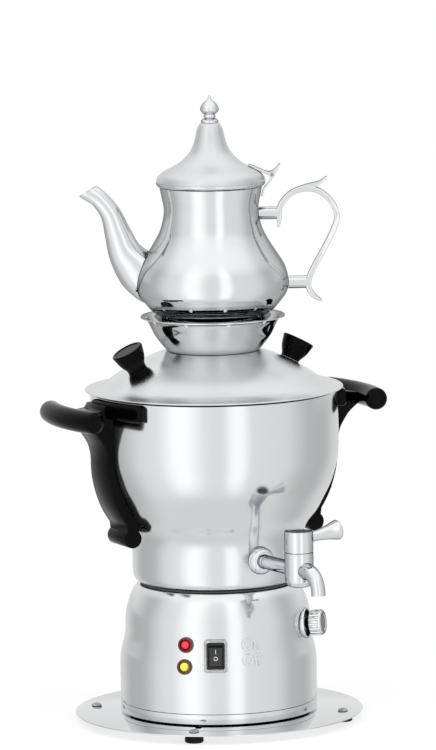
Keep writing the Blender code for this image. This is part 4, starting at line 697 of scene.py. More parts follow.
def feet():
    """Rubber feet with a rounded lip, and the cross-slotted screws that hold them."""
    for number, side in enumerate(FOOT_SIDES, 1):
        x, y = direction(side)
        spot = AXIS @ move(x * FOOT_CIRCLE, y * FOOT_CIRCLE, 0.0)
        low, high = middle("rubber_foot_%d" % number)[2:]
        hole = FOOT_SCREW_RADIUS + GAP
        floor = middle("foot_screw_%d" % number)[2] - GAP
        line = [
            (0.0, floor), (hole, floor), (hole, high), (FOOT_RADIUS * 0.90, high),
            (FOOT_RADIUS * 0.96, high - FOOT_LIP), (FOOT_RADIUS, low + FOOT_LIP * 3.0),
            (FOOT_RADIUS, low + FOOT_LIP), (FOOT_RADIUS - FOOT_LIP * 0.4, low + FOOT_LIP * 0.3),
            (FOOT_RADIUS - FOOT_LIP, low), (0.0, low),
        ]
        foot = turned("rubber_foot_moulding_%d" % number, line, SMALL)
        dress(place(foot, spot), "root", "black_rubber", RUBBER, "rubber_foot_%d" % number)
        tip, top = middle("foot_screw_%d" % number)[2:]
        seat = middle("foot_plate")[3] + GAP
        rise = top - seat
        dome = smooth([(0.0, top), (SCREW_HEAD_RADIUS * 0.6, seat + rise * 0.9),
                       (SCREW_HEAD_RADIUS, seat + rise * 0.3)], 4)
        line = dome + [(SCREW_HEAD_RADIUS, seat), (FOOT_SCREW_RADIUS, seat), (FOOT_SCREW_RADIUS, tip),
                       (0.0, tip)]
        screw = turned("foot_screw_turned_%d" % number, line, SMALL)
        for turn in (0.0, math.pi / 2.0):
            slot = block("slot", (SCREW_HEAD_RADIUS * 1.1, SLOT_WIDTH, rise), (0.0, 0.0, top))
            cut(screw, place(slot, Matrix.Rotation(turn + SCREW_TURN * number, 4, "Z")))
        dress(place(screw, spot), "root", "zinc_plated_steel", ZINC, "foot_screw_%d" % number)


DIAL_RADIUS = 0.0119
DIAL_PLACE = wall_place(DIAL_SIDE, 0.0835, DIAL_RADIUS)
SWITCH_CAN = (0.0128, 0.0190)
FRAME_SIZE = (0.0195, 0.0275)
SWITCH_PLACE = wall_place(SWITCH_SIDE, 0.0667, FRAME_SIZE[1] / 2.0)
LAMP_RADIUS = 0.0065
LAMP_BARREL = 0.0047
LAMP_PLACES = {
    "red": wall_place(LAMP_SIDE, 0.0755, LAMP_RADIUS),
    "amber": wall_place(LAMP_SIDE, 0.0578, LAMP_RADIUS),
}
INLET_CAN = (0.0270, 0.0206)
INLET_SIZE = (0.0306, 0.0256)
INLET_PLACE = wall_place(REAR_SIDE, 0.0400, INLET_SIZE[1] / 2.0)
TRIM_WALL = 0.0026
TRIM_LEDGE = 0.0100
TRIM_FLOOR = 0.0012
TRIM_EDGE = 0.0008
GASKET_BORE = 0.0600
GASKET_EDGE = 0.0007


def base():
    """Spun base wall with its openings, the ring below it and the gasket above it."""
    wall = place(turned("base_wall", BASE_LINE, wall=SHEET), AXIS)
    cut(wall, place(rod(DIAL_RADIUS + GAP, -OVERRUN * 2.0, OVERRUN), DIAL_PLACE))
    for spot in LAMP_PLACES.values():
        cut(wall, place(rod(LAMP_BARREL + GAP, -OVERRUN, OVERRUN), spot))
    for (width, tall), spot in ((SWITCH_CAN, SWITCH_PLACE), (INLET_CAN, INLET_PLACE)):
        opening = block("opening", (width + GAP * 2.0, tall + GAP * 2.0, OVERRUN * 2.0), MIDDLE)
        cut(wall, place(opening, spot))
    dress(wall, "root", "satin_stainless_steel", SATIN, "base_shell")

    radius, low, high = middle("base_trim_ring")[1:]
    inner = radius - TRIM_WALL
    ledge = radius - TRIM_LEDGE
    edge = TRIM_EDGE
    line = [
        (radius - edge, high), (radius - edge * 0.3, high - edge * 0.3), (radius, high - edge),
        (radius, low + edge), (radius - edge * 0.3, low + edge * 0.3), (radius - edge, low),
        (ledge, low), (ledge, low + TRIM_FLOOR), (inner, low + TRIM_FLOOR), (inner, high),
    ]
    ring = turned("base_foot_ring", line, closed=True)
    dress(place(ring, AXIS), "root", "satin_stainless_steel", SATIN, "base_trim_ring")

    radius, low, high = middle("base_gasket")[1:]
    edge = GASKET_EDGE
    line = [(radius - edge, high), (radius, high - edge), (radius, low + edge), (radius - edge, low),
            (GASKET_BORE, low), (GASKET_BORE, high)]
    gasket = turned("base_gasket_moulding", line, closed=True)
    # The gasket's grey is a painted sheen on black rubber
    dress(place(gasket, AXIS), "root", "black_rubber", GASKET_SHEEN, "base_gasket")


LID_SLOT = 0.0011
BRIM_EDGE = 0.0003
BRIM_TOP_EDGE = 0.0004
# Room for the middle of a face that is told apart by its place
FACE_ROOM = 0.0002


def vessel():
    """Bulged water vessel, spun in one piece."""
    rim = VESSEL_TOP - LID_SLOT
    line = [(VESSEL_RADIUS - SHEET * 0.6, rim), (VESSEL_RADIUS - SHEET * 0.2, rim - SHEET * 0.2),
            (VESSEL_RADIUS, rim - SHEET * 0.7)] + VESSEL_LINE[1:]
    pot = turned("vessel_spun", line, wall=SHEET)
    dress(place(pot, AXIS), "root", "satin_stainless_steel", SATIN, "vessel")


def lid():
    """Domed lid with a steam opening, a brim and a skirt."""
    inner = moved_out(LID_LINE, -SHEET)
    skirt_inner = SKIRT_RADIUS - SHEET
    line = LID_LINE[:-1] + [
        (LID_RADIUS - BRIM_EDGE, LID_LINE[-1][1]),
        (LID_RADIUS, LID_LINE[-1][1] - BRIM_TOP_EDGE),
        (LID_RADIUS, LID_BOTTOM + BRIM_EDGE),
        (LID_RADIUS - BRIM_EDGE, LID_BOTTOM),
        (SKIRT_RADIUS, LID_BOTTOM),
        (SKIRT_RADIUS, LID_SKIRT_BOTTOM),
        (skirt_inner, LID_SKIRT_BOTTOM),
        (skirt_inner, level_at(inner, skirt_inner)[0]),
    ]
    line += [point for point in reversed(inner) if point[0] < skirt_inner]
    dome = turned("lid_spun", line, closed=True)
    dress(place(dome, AXIS), "lid", "matt_brushed_steel", HANDLED, "lid")
    # The brim's underside and the skirt get the dark sheet: painted shade for the gap under the brim
    dome.data.materials.append(BRIM_SHADE)
    for face in dome.data.polygons:
        reach = (face.center - AXIS_PLACE).to_2d().length
        if reach < LID_RADIUS - BRIM_TOP_EDGE and face.center.z < LID_BOTTOM + FACE_ROOM:
            face.material_index = 1


KNOB_RADIUS = 0.0135
KNOB_HEIGHT = 0.0182
KNOB_SHARES = (
    ((0.000, 0.960), (0.780, 0.960)),
    ((0.780, 0.960), (0.820, 0.985), (0.900, 1.000), (0.965, 0.985), (1.000, 0.940), (0.985, 0.880)),
    ((0.985, 0.880), (0.920, 0.670), (0.830, 0.440), (0.720, 0.270), (0.620, 0.130), (0.590, 0.000)),
    ((0.590, 0.000), (0.590, -0.160)),
    ((0.590, -0.160), (0.000, -0.160)),
)


def lid_knobs():
    """Two resin knobs that widen upwards, with a shallow dish on top."""
    level, lean = level_at(LID_LINE, KNOB_CIRCLE)
    for name, turn in (("right", LID_TURN), ("left", math.pi + LID_TURN)):
        spot = AXIS @ move(KNOB_CIRCLE * math.cos(turn), KNOB_CIRCLE * math.sin(turn), level)
        spot = spot @ Matrix.Rotation(turn, 4, "Z") @ Matrix.Rotation(lean, 4, "Y")
        knob = turned("lid_knob_turned_" + name, outline(KNOB_SHARES, KNOB_RADIUS, 0.0, KNOB_HEIGHT), ROUND)
        cut(place(knob, spot), jacket(LID_LINE))
        dress(knob, "lid", "black_bakelite", BAKELITE, "lid_knob_" + name)


def stand():
    """Open bowl with a perforated flange and a fine rounded rim."""
    bowl = turned("teapot_stand_spun", STAND_LINE, wall=SHEET)
    circle = STAND_HOLE_CIRCLE_SHARE * STAND_RADIUS
    for number in range(STAND_HOLES):
        x, y = direction(360.0 * (number + 0.5) / STAND_HOLES)
        hole = rod(STAND_HOLE_RADIUS, STAND_TOP - OVERRUN * 2.0, STAND_TOP + OVERRUN, 24)
        cut(bowl, place(hole, move(x * circle, y * circle, 0.0)))
    dress(place(bowl, AXIS), "lid", "mirror_polished_steel", MIRROR, "teapot_stand")


POT_SHEET = 0.0008
SPOUT_EDGE = 0.0002
STRAP_EDGE = 0.0012
HORN_EDGE = 0.0004
SPOUT_WALL = 0.0010
WASTE_WIDTH = 0.080
SPOUT_NARROW = 0.82
SPOUT_SHARES = (
    (0.710, 0.350, 0.310), (0.820, 0.380, 0.312), (0.978, 0.444, 0.286), (1.128, 0.545, 0.222),
    (1.216, 0.665, 0.177), (1.309, 0.798, 0.136), (1.453, 0.895, 0.118), (1.600, 0.948, 0.120),
    (1.760, 1.008, 0.126),
)
MOUTH_SHARES = ((1.712, 0.918), (1.514, 0.9745))
HANDLE_WIDTH = 0.0100
HANDLE_SHARES = (
    (0.871, 0.700, 0.011), (0.886, 0.748, 0.030), (0.888, 0.812, 0.035), (0.943, 0.867, 0.035),
    (1.069, 0.923, 0.035), (1.238, 0.945, 0.036), (1.404, 0.929, 0.035), (1.543, 0.874, 0.035),
    (1.625, 0.805, 0.035), (1.637, 0.745, 0.035), (1.587, 0.672, 0.035), (1.461, 0.551, 0.035),
    (1.333, 0.441, 0.035), (1.265, 0.364, 0.036), (1.260, 0.305, 0.035), (1.325, 0.253, 0.030),
    (1.427, 0.221, 0.012),
)
HORN_SHARES = (
    (1.104, 0.931, 0.030), (1.230, 0.953, 0.035), (1.364, 0.970, 0.030), (1.451, 0.990, 0.020),
    (1.508, 1.019, 0.009),
)
POST_RADIUS = 0.0053
UPPER_POST_SHARES = (0.560, 0.900, 0.790)
LOWER_POST_SHARES = (0.900, 1.260, 0.342)


def teapot_stations(shares, spans):
    """Middle line of a strap or spout of the teapot, from shares of its radius and height."""
    return smooth([(x * POT_RADIUS, POT_BOTTOM + z * POT_HEIGHT, half * POT_RADIUS)
                   for x, z, half in shares], spans)


def teapot():
    """Pear-shaped body, spout and strap handle."""
    body = turned("teapot_body_spun", POT_LINE, wall=POT_SHEET)
    dress(place(body, TEAPOT), "teapot", "mirror_polished_steel", MIRROR, "teapot_body")

    route = [(-x, z, r) for x, z, r in teapot_stations(SPOUT_SHARES, 6)]
    spout = drawn("teapot_spout_drawn", route, 64)
    x0, z0 = route[-2][:2]
    x1, z1, r1 = route[-1]
    far = (x1 + (x1 - x0) * 4.0, z1 + (z1 - z0) * 4.0, r1)
    bore = [(x, z, r - SPOUT_WALL) for x, z, r in route + [far]]
    cut(spout, drawn("bore", bore, 64))
    (x0, z0), (x1, z1) = [(-x * POT_RADIUS, POT_BOTTOM + z * POT_HEIGHT) for x, z in MOUTH_SHARES]
    waste = block("waste", (WASTE_WIDTH, WASTE_WIDTH, WASTE_WIDTH / 2.0), (0.0, 0.0, WASTE_WIDTH / 4.0))
    slope = Matrix.Rotation(-math.atan2(z1 - z0, x1 - x0), 4, "Y")
    cut(spout, place(waste, move(x0, 0.0, z0) @ slope))
    place(spout, Matrix.Diagonal((1.0, SPOUT_NARROW, 1.0, 1.0)))
    cut(spout, jacket(POT_WALL, IN_PLACE))
    rounded(spout, SPOUT_EDGE, 2, 50.0)
    dress(place(spout, TEAPOT), "teapot", "mirror_polished_steel", MIRROR, "teapot_spout")

    handle = strap("teapot_handle_strap", band(teapot_stations(HANDLE_SHARES, 5)), HANDLE_WIDTH)
    rounded(handle, STRAP_EDGE, 3, 60.0)
    horn = strap("horn", band(teapot_stations(HORN_SHARES, 5)), HANDLE_WIDTH * 0.94)
    join(handle, rounded(horn, HORN_EDGE, 2, 60.0))
    for near, far, rise in (UPPER_POST_SHARES, LOWER_POST_SHARES):
        post = rod(POST_RADIUS, near * POT_RADIUS, far * POT_RADIUS)
        level = POT_BOTTOM + rise * POT_HEIGHT
        upright = move(0.0, 0.0, level) @ Matrix.Rotation(math.pi / 2.0, 4, "Y")
        join(handle, place(post, upright))
    cut(handle, jacket(POT_WALL, IN_PLACE))
    dress(place(handle, TEAPOT), "teapot", "mirror_polished_steel", MIRROR, "teapot_handle")


FINIAL_RADIUS = 0.0077
HINGE_REACH = 0.0507
HINGE_EDGE = 0.0003
HINGE_RADIUS = 0.0028
HINGE_PIN_RADIUS = 0.0011
HINGE_WIDTH = 0.0096
KNUCKLE_WIDTH = 0.0040
HINGE_BRACKET_SHARES = (
    (-3.00, -6.60, 0.34), (-2.35, -4.30, 0.34), (-0.98, -2.70, 0.36), (-0.30, -1.50, 0.42),
    (0.00, -0.50, 0.55),
)
TAB_SHARES = (
    (-6.80, 2.90, 0.20), (-4.70, 1.90, 0.34), (-2.90, 1.05, 0.38), (-1.50, 0.45, 0.46),
    (0.00, 0.35, 0.56), (1.05, 1.15, 0.46), (2.40, 3.05, 0.20),
)


def hinge_band(shares):
    """Outline of a hinge strap from the pin, in shares of the knuckle radius."""
    points = [(x * HINGE_RADIUS, z * HINGE_RADIUS, half * HINGE_RADIUS) for x, z, half in shares]
    return band(smooth(points, 5))


def hinge():
    """Hinge bracket on the neck and the thumb tab on the lid."""
    joint = next(j for j in frame["joints"] if j["name"] == "teapot_lid_hinge")
    spot = TEAPOT @ move(HINGE_REACH, 0.0, joint["pos_m"][2])
    bore = HINGE_PIN_RADIUS + GAP
    half = KNUCKLE_WIDTH / 2.0
    wide = HINGE_WIDTH / 2.0
    bracket = strap("hinge_bracket_strap", hinge_band(HINGE_BRACKET_SHARES), KNUCKLE_WIDTH)
    rounded(bracket, HINGE_EDGE, 2, 60.0)
    join(bracket, place(rod(HINGE_RADIUS, -half, half), FLAT))
    cut(bracket, place(rod(bore, -half - OVERRUN, half + OVERRUN), FLAT))
    place(bracket, spot)
    cut(bracket, jacket(POT_WALL, TEAPOT))
    dress(bracket, "teapot", "mirror_polished_steel", MIRROR, "teapot_hinge_bracket")
    tab = strap("lid_tab_strap", hinge_band(TAB_SHARES), HINGE_WIDTH)
    rounded(tab, HINGE_EDGE, 2, 60.0)
    join(tab, place(rod(HINGE_RADIUS, -wide, wide), FLAT))
    slot = (HINGE_RADIUS * 2.6, KNUCKLE_WIDTH + GAP * 2.0, HINGE_RADIUS * 3.0)
    cut(tab, block("slot", slot, (0.0, 0.0, -HINGE_RADIUS * 0.4)))
    cut(tab, place(rod(bore, -wide - OVERRUN, wide + OVERRUN), FLAT))
    place(tab, spot)
    cut(tab, jacket(POT_LID_LINE, TEAPOT))
    dress(tab, "teapot_lid", "mirror_polished_steel", MIRROR, "teapot_lid_tab")


def teapot_lid():
    """Ogee lid of the teapot and its onion finial."""
    cover = turned("teapot_lid_spun", POT_LID_LINE, wall=POT_SHEET)
    dress(place(cover, TEAPOT), "teapot_lid", "matt_brushed_steel", MATT, "teapot_lid")
    bottom = POT_LID_TOP + GAP
    top = middle("teapot_finial")[3]
    line = outline(FINIAL_SHARES, FINIAL_RADIUS, bottom, top - bottom)
    finial = turned("teapot_finial_turned", line, ROUND)
    dress(place(finial, TEAPOT), "teapot_lid", "chromed_brass", CHROME, "teapot_finial")


TAP_CENTRE = 0.1300
TAP_RADIUS = 0.0118
TAP_BOTTOM = 0.1283
TAP_TOP = 0.1576
PIPE_HEIGHT = 0.1426
PIPE_RADIUS = 0.0058
PIPE_BORE = 0.0035
SPOUT_REACH = 0.0290
SPOUT_DROP = 0.0170
SPOUT_TUBE_RADIUS = 0.0058
TAP_SPOUT_SHARES = (
    (0.00, 0.00, 1.30), (0.36, 0.04, 1.22), (0.66, -0.04, 1.10), (0.88, -0.30, 1.02),
    (0.98, -0.66, 1.00), (1.00, -1.00, 1.00),
)
LEVER_LENGTH = 0.0390
LEVER_RADIUS = 0.0082
LEVER_ROOT = 0.0094
LEVER_TILT = math.radians(8.0)
LEVER_SHARES = (
    ((0.00, 1.000), (0.60, 1.000), (0.90, 0.985), (1.00, 0.945), (0.97, 0.880)),
    ((0.97, 0.880), (0.74, 0.640), (0.58, 0.360), (0.53, 0.160), (0.53, 0.000)),
    ((0.53, 0.000), (0.00, 0.000)),
)
FLANGE_RADIUS = 0.0114
FLANGE_DEPTH = 0.0062
FLANGE_SHARES = (
    ((0.66, 1.00), (0.84, 0.80), (0.96, 0.42), (1.00, 0.05)),
)
TAP_CHEEK = 0.0045
TAP_EDGE = 0.0004
MOUTH_EDGE = 0.0005
HEAD_EDGE = 0.0008
HEAD_DISH_RADIUS = 0.0092
HEAD_DISH_DEPTH = 0.0015
HEAD_BORE = 0.0040
HEAD_BORE_DEPTH = 0.0105
CAP_EDGE = 0.0002
CAP_DISH = 0.0003
TAP = AXIS @ move(0.0, -TAP_CENTRE, 0.0)


def tap():
    """Tap with its pipe, spout, wall flange, head, head disc and lever."""
    belly = smooth([
        (TAP_RADIUS, TAP_BOTTOM + TAP_CHEEK * 2.0), (TAP_RADIUS * 0.95, TAP_BOTTOM + TAP_CHEEK * 1.1),
        (TAP_RADIUS * 0.70, TAP_BOTTOM + TAP_CHEEK * 0.30), (0.0, TAP_BOTTOM)], 6)
    line = [(0.0, TAP_TOP), (TAP_RADIUS - TAP_EDGE, TAP_TOP), (TAP_RADIUS, TAP_TOP - TAP_EDGE)] + belly
    body = place(turned("tap_body_cast", line, ROUND), TAP)
    pipe = rod(PIPE_RADIUS, VESSEL_RADIUS * 0.60, TAP_CENTRE - TAP_RADIUS / 2.0)
    level = AXIS @ move(0.0, 0.0, PIPE_HEIGHT) @ FLAT
    join(body, place(pipe, level))
    stations = smooth([(out * SPOUT_REACH, PIPE_HEIGHT + rise * SPOUT_DROP, wide * SPOUT_TUBE_RADIUS)
                       for out, rise, wide in TAP_SPOUT_SHARES], 6)
    forward = TAP @ Matrix.Rotation(-math.pi / 2.0, 4, "Z")
    join(body, place(drawn("spout", stations), forward))
    x, z, radius = stations[-1]
    mouth = [(x, z + SPOUT_DROP * 0.5, PIPE_BORE), (x, z + SPOUT_DROP * 0.25, PIPE_BORE),
             (x, z - OVERRUN, PIPE_BORE)]
    cut(body, place(drawn("bore", mouth, 32), forward))
    rounded(body, MOUTH_EDGE, 2, 50.0)
    dress(body, "root", "chromed_brass", CHROME, "tap_body")

    wall = radius_at(VESSEL_LINE, PIPE_HEIGHT)
    line = outline(FLANGE_SHARES, FLANGE_RADIUS, 0.0, FLANGE_DEPTH) + [
        (FLANGE_RADIUS, -OVERRUN), (PIPE_RADIUS + GAP, -OVERRUN), (PIPE_RADIUS + GAP, FLANGE_DEPTH)]
    flange = turned("tap_flange_turned", line, ROUND, closed=True)
    place(flange, AXIS @ move(0.0, -wall, PIPE_HEIGHT) @ FLAT)
    cut(flange, jacket(VESSEL_WALL))
    dress(flange, "root", "chromed_brass", CHROME, "tap_flange")

    low, high = middle("tap_head")[2:]
    dish = high - HEAD_DISH_DEPTH
    edge = HEAD_EDGE
    socket = low + HEAD_BORE_DEPTH
    stem = HEAD_BORE + GAP
    line = [(0.0, dish), (HEAD_DISH_RADIUS, dish), (HEAD_DISH_RADIUS, high - edge * 0.4),
            (HEAD_DISH_RADIUS + edge * 0.4, high), (TAP_RADIUS - edge, high),
            (TAP_RADIUS - edge * 0.3, high - edge * 0.3), (TAP_RADIUS, high - edge),
            (TAP_RADIUS, low + edge * 0.5), (TAP_RADIUS - edge * 0.5, low), (stem, low), (stem, socket),
            (0.0, socket)]
    head = place(turned("tap_head_turned", line, ROUND), TAP)
    spot = TAP @ move(0.0, 0.0, low + (high - low) * 0.55)
    spot = spot @ Matrix.Rotation(math.pi / 2.0 - LEVER_TILT, 4, "Y")
    root = LEVER_SHARES[-1][0][0] * LEVER_RADIUS
    cut(head, place(rod(root + GAP, LEVER_ROOT - GAP, LEVER_LENGTH), spot))
    dress(head, "tap_lever", "chromed_brass", CHROME, "tap_head")
    line = outline(LEVER_SHARES, LEVER_RADIUS, LEVER_ROOT, LEVER_LENGTH - LEVER_ROOT)
    lever = place(turned("tap_lever_turned", line, ROUND), spot)
    dress(lever, "tap_lever", "chromed_brass", CHROME, "tap_lever")
    radius, low, high = middle("tap_head_disc")[1:]
    line = [(0.0, high - CAP_DISH), (radius * 0.6, high - CAP_DISH), (radius * 0.7, high),
            (radius - CAP_EDGE, high), (radius, high - CAP_EDGE), (radius, low), (0.0, low)]
    disc = place(turned("tap_head_cap", line, ROUND), TAP)
    dress(disc, "tap_lever", "black_nylon", NYLON, "tap_head_disc")


BRACKET_WIDTH = 0.0340
BRACKET_DROP = 0.0046
BRACKET_LENGTH = 0.1126
BRACKET_REACH = 0.0400
BRACKET_TOP_SHARES = ((0.163, 1.000), (0.225, 0.963), (0.575, 0.946), (0.840, 0.936))
BRACKET_FRONT_SHARES = (
    (0.840, 0.887), (0.638, 0.868), (0.400, 0.807), (0.270, 0.750), (0.160, 0.683), (0.108, 0.600),
    (0.103, 0.527), (0.088, 0.452), (0.050, 0.379), (-0.008, 0.306), (-0.085, 0.233), (-0.195, 0.159),
    (-0.303, 0.100),
)
BRACKET_FOOT_SHARES = ((-0.325, 0.044), (-0.445, 0.000), (-0.475, 0.048))
INNER_LEVEL_SHARES = (0.100, 0.250, 0.450, 0.700)
HEEL_RADIUS = 0.0078
HEEL_REACH = -0.0178
TOE_RADIUS = 0.0055
TOE_REACH = -0.0186
TOE_RISE = 0.0086
WING_SPAN = math.radians(29.5)
WING_STEPS = 24
WING_THICK = 0.0060
WING_HEIGHT = 0.0145
WING_DROP = -0.0030
GRIP_RADIUS = 0.00925
GRIP_LENGTH = 0.0900
GRIP_REACH = 0.0336
GRIP_BOW = 0.0070
GRIP_DROP = 0.0095
GRIP_EDGE = 0.0048
BRACKET_EDGE = 0.0009
WING_EDGE = 0.0026
ROLL_EDGE = 0.0012
GRIP_END_SHARES = (
    (1.000, 0.42), (0.994, 0.60), (0.982, 0.76), (0.962, 0.90), (0.935, 0.98), (0.91, 1.00),
)
# A grip is drawn along X with its reach along Z; this lays it along Y with its reach along X
GRIP_FRAME = Matrix(((0, 0, 1, 0), (1, 0, 0, 0), (0, 1, 0, 0), (0, 0, 0, 1)))


def grip_stations(extra, steps):
    """Middle line of a side grip: length along x and reach along z."""
    half = GRIP_LENGTH / 2.0
    inner = GRIP_END_SHARES[-1][0]
    stations = [(-share, wide) for share, wide in GRIP_END_SHARES]
    stations += [(inner * (2.0 * i / steps - 1.0), 1.0) for i in range(1, steps)]
    stations += [(share, wide) for share, wide in reversed(GRIP_END_SHARES)]
    reach = VESSEL_RADIUS + GRIP_REACH
    return [(share * half, reach - GRIP_BOW * share * share, wide * GRIP_RADIUS + extra)
            for share, wide in stations]


def side_handles():
    """Resin bracket with its front wing, heel and toe, and the round grip it holds."""
    top = VESSEL_TOP - BRACKET_DROP
    bottom = top - BRACKET_LENGTH
    shares = [*BRACKET_TOP_SHARES, *smooth(BRACKET_FRONT_SHARES, 4), *BRACKET_FOOT_SHARES]
    side_view = [(VESSEL_RADIUS + reach * BRACKET_REACH, bottom + rise * BRACKET_LENGTH)
                 for reach, rise in shares]
    side_view += [(radius_at(VESSEL_LINE, bottom + share * BRACKET_LENGTH) - OVERRUN,
                   bottom + share * BRACKET_LENGTH) for share in INNER_LEVEL_SHARES]
    side_view.append((VESSEL_RADIUS - OVERRUN, top))
    inner = VESSEL_RADIUS - OVERRUN
    outer = VESSEL_RADIUS + GAP + WING_THICK
    short_end = BRACKET_WIDTH * 0.3 / VESSEL_RADIUS
    for name, turn, front in (("right", HANDLE_TURN, 1.0), ("left", math.pi + HANDLE_TURN, -1.0)):
        spot = AXIS @ Matrix.Rotation(turn, 4, "Z")
        first, last = sorted((front * WING_SPAN, -front * short_end))
        angles = [first + (last - first) * i / WING_STEPS for i in range(WING_STEPS + 1)]
        wing_view = [(inner * math.cos(a), inner * math.sin(a)) for a in angles]
        wing_view += [(outer * math.cos(a), outer * math.sin(a)) for a in reversed(angles)]
        bracket = strap("handle_bracket_moulding_" + name, side_view, BRACKET_WIDTH)
        rounded(bracket, BRACKET_EDGE, 2, 50.0)
        wing = rounded(strap("wing", [(x, -y) for x, y in wing_view], WING_HEIGHT), WING_EDGE, 4, 50.0)
        level = top - WING_DROP - WING_HEIGHT / 2.0
        join(bracket, place(wing, move(0.0, 0.0, level) @ UPRIGHT))
        for reach, radius, rise in ((HEEL_REACH, HEEL_RADIUS, 0.0), (TOE_REACH, TOE_RADIUS, TOE_RISE)):
            roll = rounded(rod(radius, -BRACKET_WIDTH / 2.0, BRACKET_WIDTH / 2.0), ROLL_EDGE, 3, 50.0)
            join(bracket, place(roll, move(VESSEL_RADIUS + reach, 0.0, bottom + rise) @ FLAT))
        grip_level = move(0.0, 0.0, top - GRIP_DROP) @ GRIP_FRAME
        cut(bracket, place(drawn("seat", grip_stations(GAP, 12)), grip_level))
        place(bracket, spot)
        cut(bracket, jacket(VESSEL_WALL))
        dress(bracket, "root", "black_bakelite", BAKELITE, "handle_bracket_" + name)
        grip = drawn("handle_grip_moulding_" + name, grip_stations(0.0, 24), 64)
        rounded(grip, GRIP_EDGE, 6, 60.0)
        place(grip, spot @ grip_level)
        dress(grip, "root", "black_bakelite", BAKELITE, "handle_grip_" + name)


DIAL_LIP = 0.0008
DIAL_LIP_RISE = 0.0012
DIAL_DEPTH = 0.0028
DIAL_DISC_RADIUS = 0.0106
BUSH_RADIUS = 0.0048
DIAL_KNOB_RADIUS = 0.0107
DIAL_KNOB_BACK = 0.0046
DIAL_KNOB_LENGTH = 0.0104
DIAL_SKIRT = 0.0016
HUB_RADIUS = 0.0046
HUB_DEPTH = 0.0008
SPINDLE_RADIUS = 0.0029
FLUTES = 18
FLUTE_RADIUS = 0.0011
FLUTE_OFFSET = 0.0004
FLUTE_STOP = 0.0016


def thermostat():
    """Dial dish with its lip, the black disc in it and the fluted knob."""
    well = DIAL_RADIUS - SHEET
    bore = BUSH_RADIUS + GAP
    lip = DIAL_RADIUS + DIAL_LIP
    rim = smooth([(well, 0.0), (well + 0.0003, DIAL_LIP_RISE * 0.8), (DIAL_RADIUS, DIAL_LIP_RISE),
                  (lip - 0.0005, DIAL_LIP_RISE * 0.8), (lip, 0.0)], 4)
    line = rim + [(lip, -DIAL_SKIRT), (DIAL_RADIUS, -DIAL_SKIRT), (DIAL_RADIUS, -DIAL_DEPTH - SHEET),
                  (bore, -DIAL_DEPTH - SHEET), (bore, -DIAL_DEPTH), (well, -DIAL_DEPTH)]
    dish = place(turned("dial_dish", line, ROUND, closed=True), DIAL_PLACE)
    dress(dish, "root", "mirror_polished_steel", MIRROR, "thermostat_dial_plate")
    dish.data.materials.append(NYLON)
    back_to_dial = DIAL_PLACE.inverted()
    for face in dish.data.polygons:
        spot = back_to_dial @ face.center
        if spot.to_2d().length < well + FACE_ROOM and spot.z > -DIAL_DEPTH - SHEET * 0.5:
            face.material_index = 1
    low = -DIAL_DEPTH + GAP
    high = low + SHEET
    line = [(DIAL_DISC_RADIUS - CAP_EDGE, high), (DIAL_DISC_RADIUS, high - CAP_EDGE),
            (DIAL_DISC_RADIUS, low), (bore, low), (bore, high)]
    disc = place(turned("dial_disc", line, ROUND, closed=True), DIAL_PLACE)
    dress(disc, "root", "black_nylon", NYLON, "thermostat_dial_disc")

    back = DIAL_KNOB_BACK
    front = DIAL_KNOB_BACK + DIAL_KNOB_LENGTH
    radius = DIAL_KNOB_RADIUS
    hub = HUB_RADIUS
    spindle = SPINDLE_RADIUS + GAP
    floor = DIAL_KNOB_BACK + DIAL_KNOB_LENGTH * 0.5
    crown = smooth([(radius * 0.66, front - 0.0002), (radius * 0.80, front),
                    (radius * 0.92, front - 0.0007), (radius, front - 0.0024)], 4)
    line = [(0.0, front - 0.0008), (radius * 0.60, front - 0.0008)] + crown + [
        (radius, back + 0.0012), (radius * 0.94, back), (hub, back), (hub, GAP - HUB_DEPTH),
        (spindle, GAP - HUB_DEPTH), (spindle, floor), (0.0, floor)]
    knob = turned("dial_knob_turned", line, ROUND)
    for number in range(FLUTES):
        angle = 2.0 * math.pi * number / FLUTES
        x = math.cos(angle) * (radius + FLUTE_OFFSET)
        y = math.sin(angle) * (radius + FLUTE_OFFSET)
        flute = rod(FLUTE_RADIUS, back - OVERRUN, front - FLUTE_STOP, 12)
        cut(knob, place(flute, move(x, y, 0.0)))
    place(knob, DIAL_PLACE)
    dress(knob, "thermostat_knob", "chromed_brass", CHROME, "thermostat_knob")


CASE_SIZE = (0.0150, 0.0218)
FRAME_RISE = 0.0014
FRAME_DEPTH = 0.0030
FRAME_CORNER = 0.0026
FRAME_EDGE = 0.0006
FRAME_OPENING_DEPTH = 0.0120
CASE_CORNER = 0.0012
CASE_LEVELS = (0.0008, 0.0024)
CASE_EDGE = 0.0004
SWITCH_CAN_DEPTH = 0.0196
SWITCH_CAN_LEVEL = -0.0082
POCKET_DEPTH = 0.0106
POCKET_LEVEL = 0.0001
POCKET_ROOM = 0.0018
ROCKER_WIDTH = 0.0112
ROCKER_HALF = 0.0078
ROCKER_RISE = 0.0039
ROCKER_DEPTH = 0.0010
ROCKER_EDGE = 0.0003
ROCKER_TILT = math.radians(8.0)
ON_MARK_SIZE = (0.0006, 0.0034, 0.0004)
ON_MARK_PLACE = (0.0, 0.0042, 0.0032)
ON_MARK_LEAN = math.radians(12.0)
OFF_MARK_RADII = (0.0017, 0.0012)
OFF_MARK_PLACE = (0.0, -0.0016, 0.0029)
OFF_MARK_LEAN = math.radians(-4.7)
MARK_HALF = 0.0001
ROCKER_DISH_SHARES = ((-1.00, 1.00), (-0.50, 0.80), (0.00, 0.70), (0.50, 0.80), (1.00, 1.00))
ROCKER_BACK_SHARES = ((0.95, -0.13), (0.38, -0.90), (-0.38, -0.90), (-0.95, -0.13))


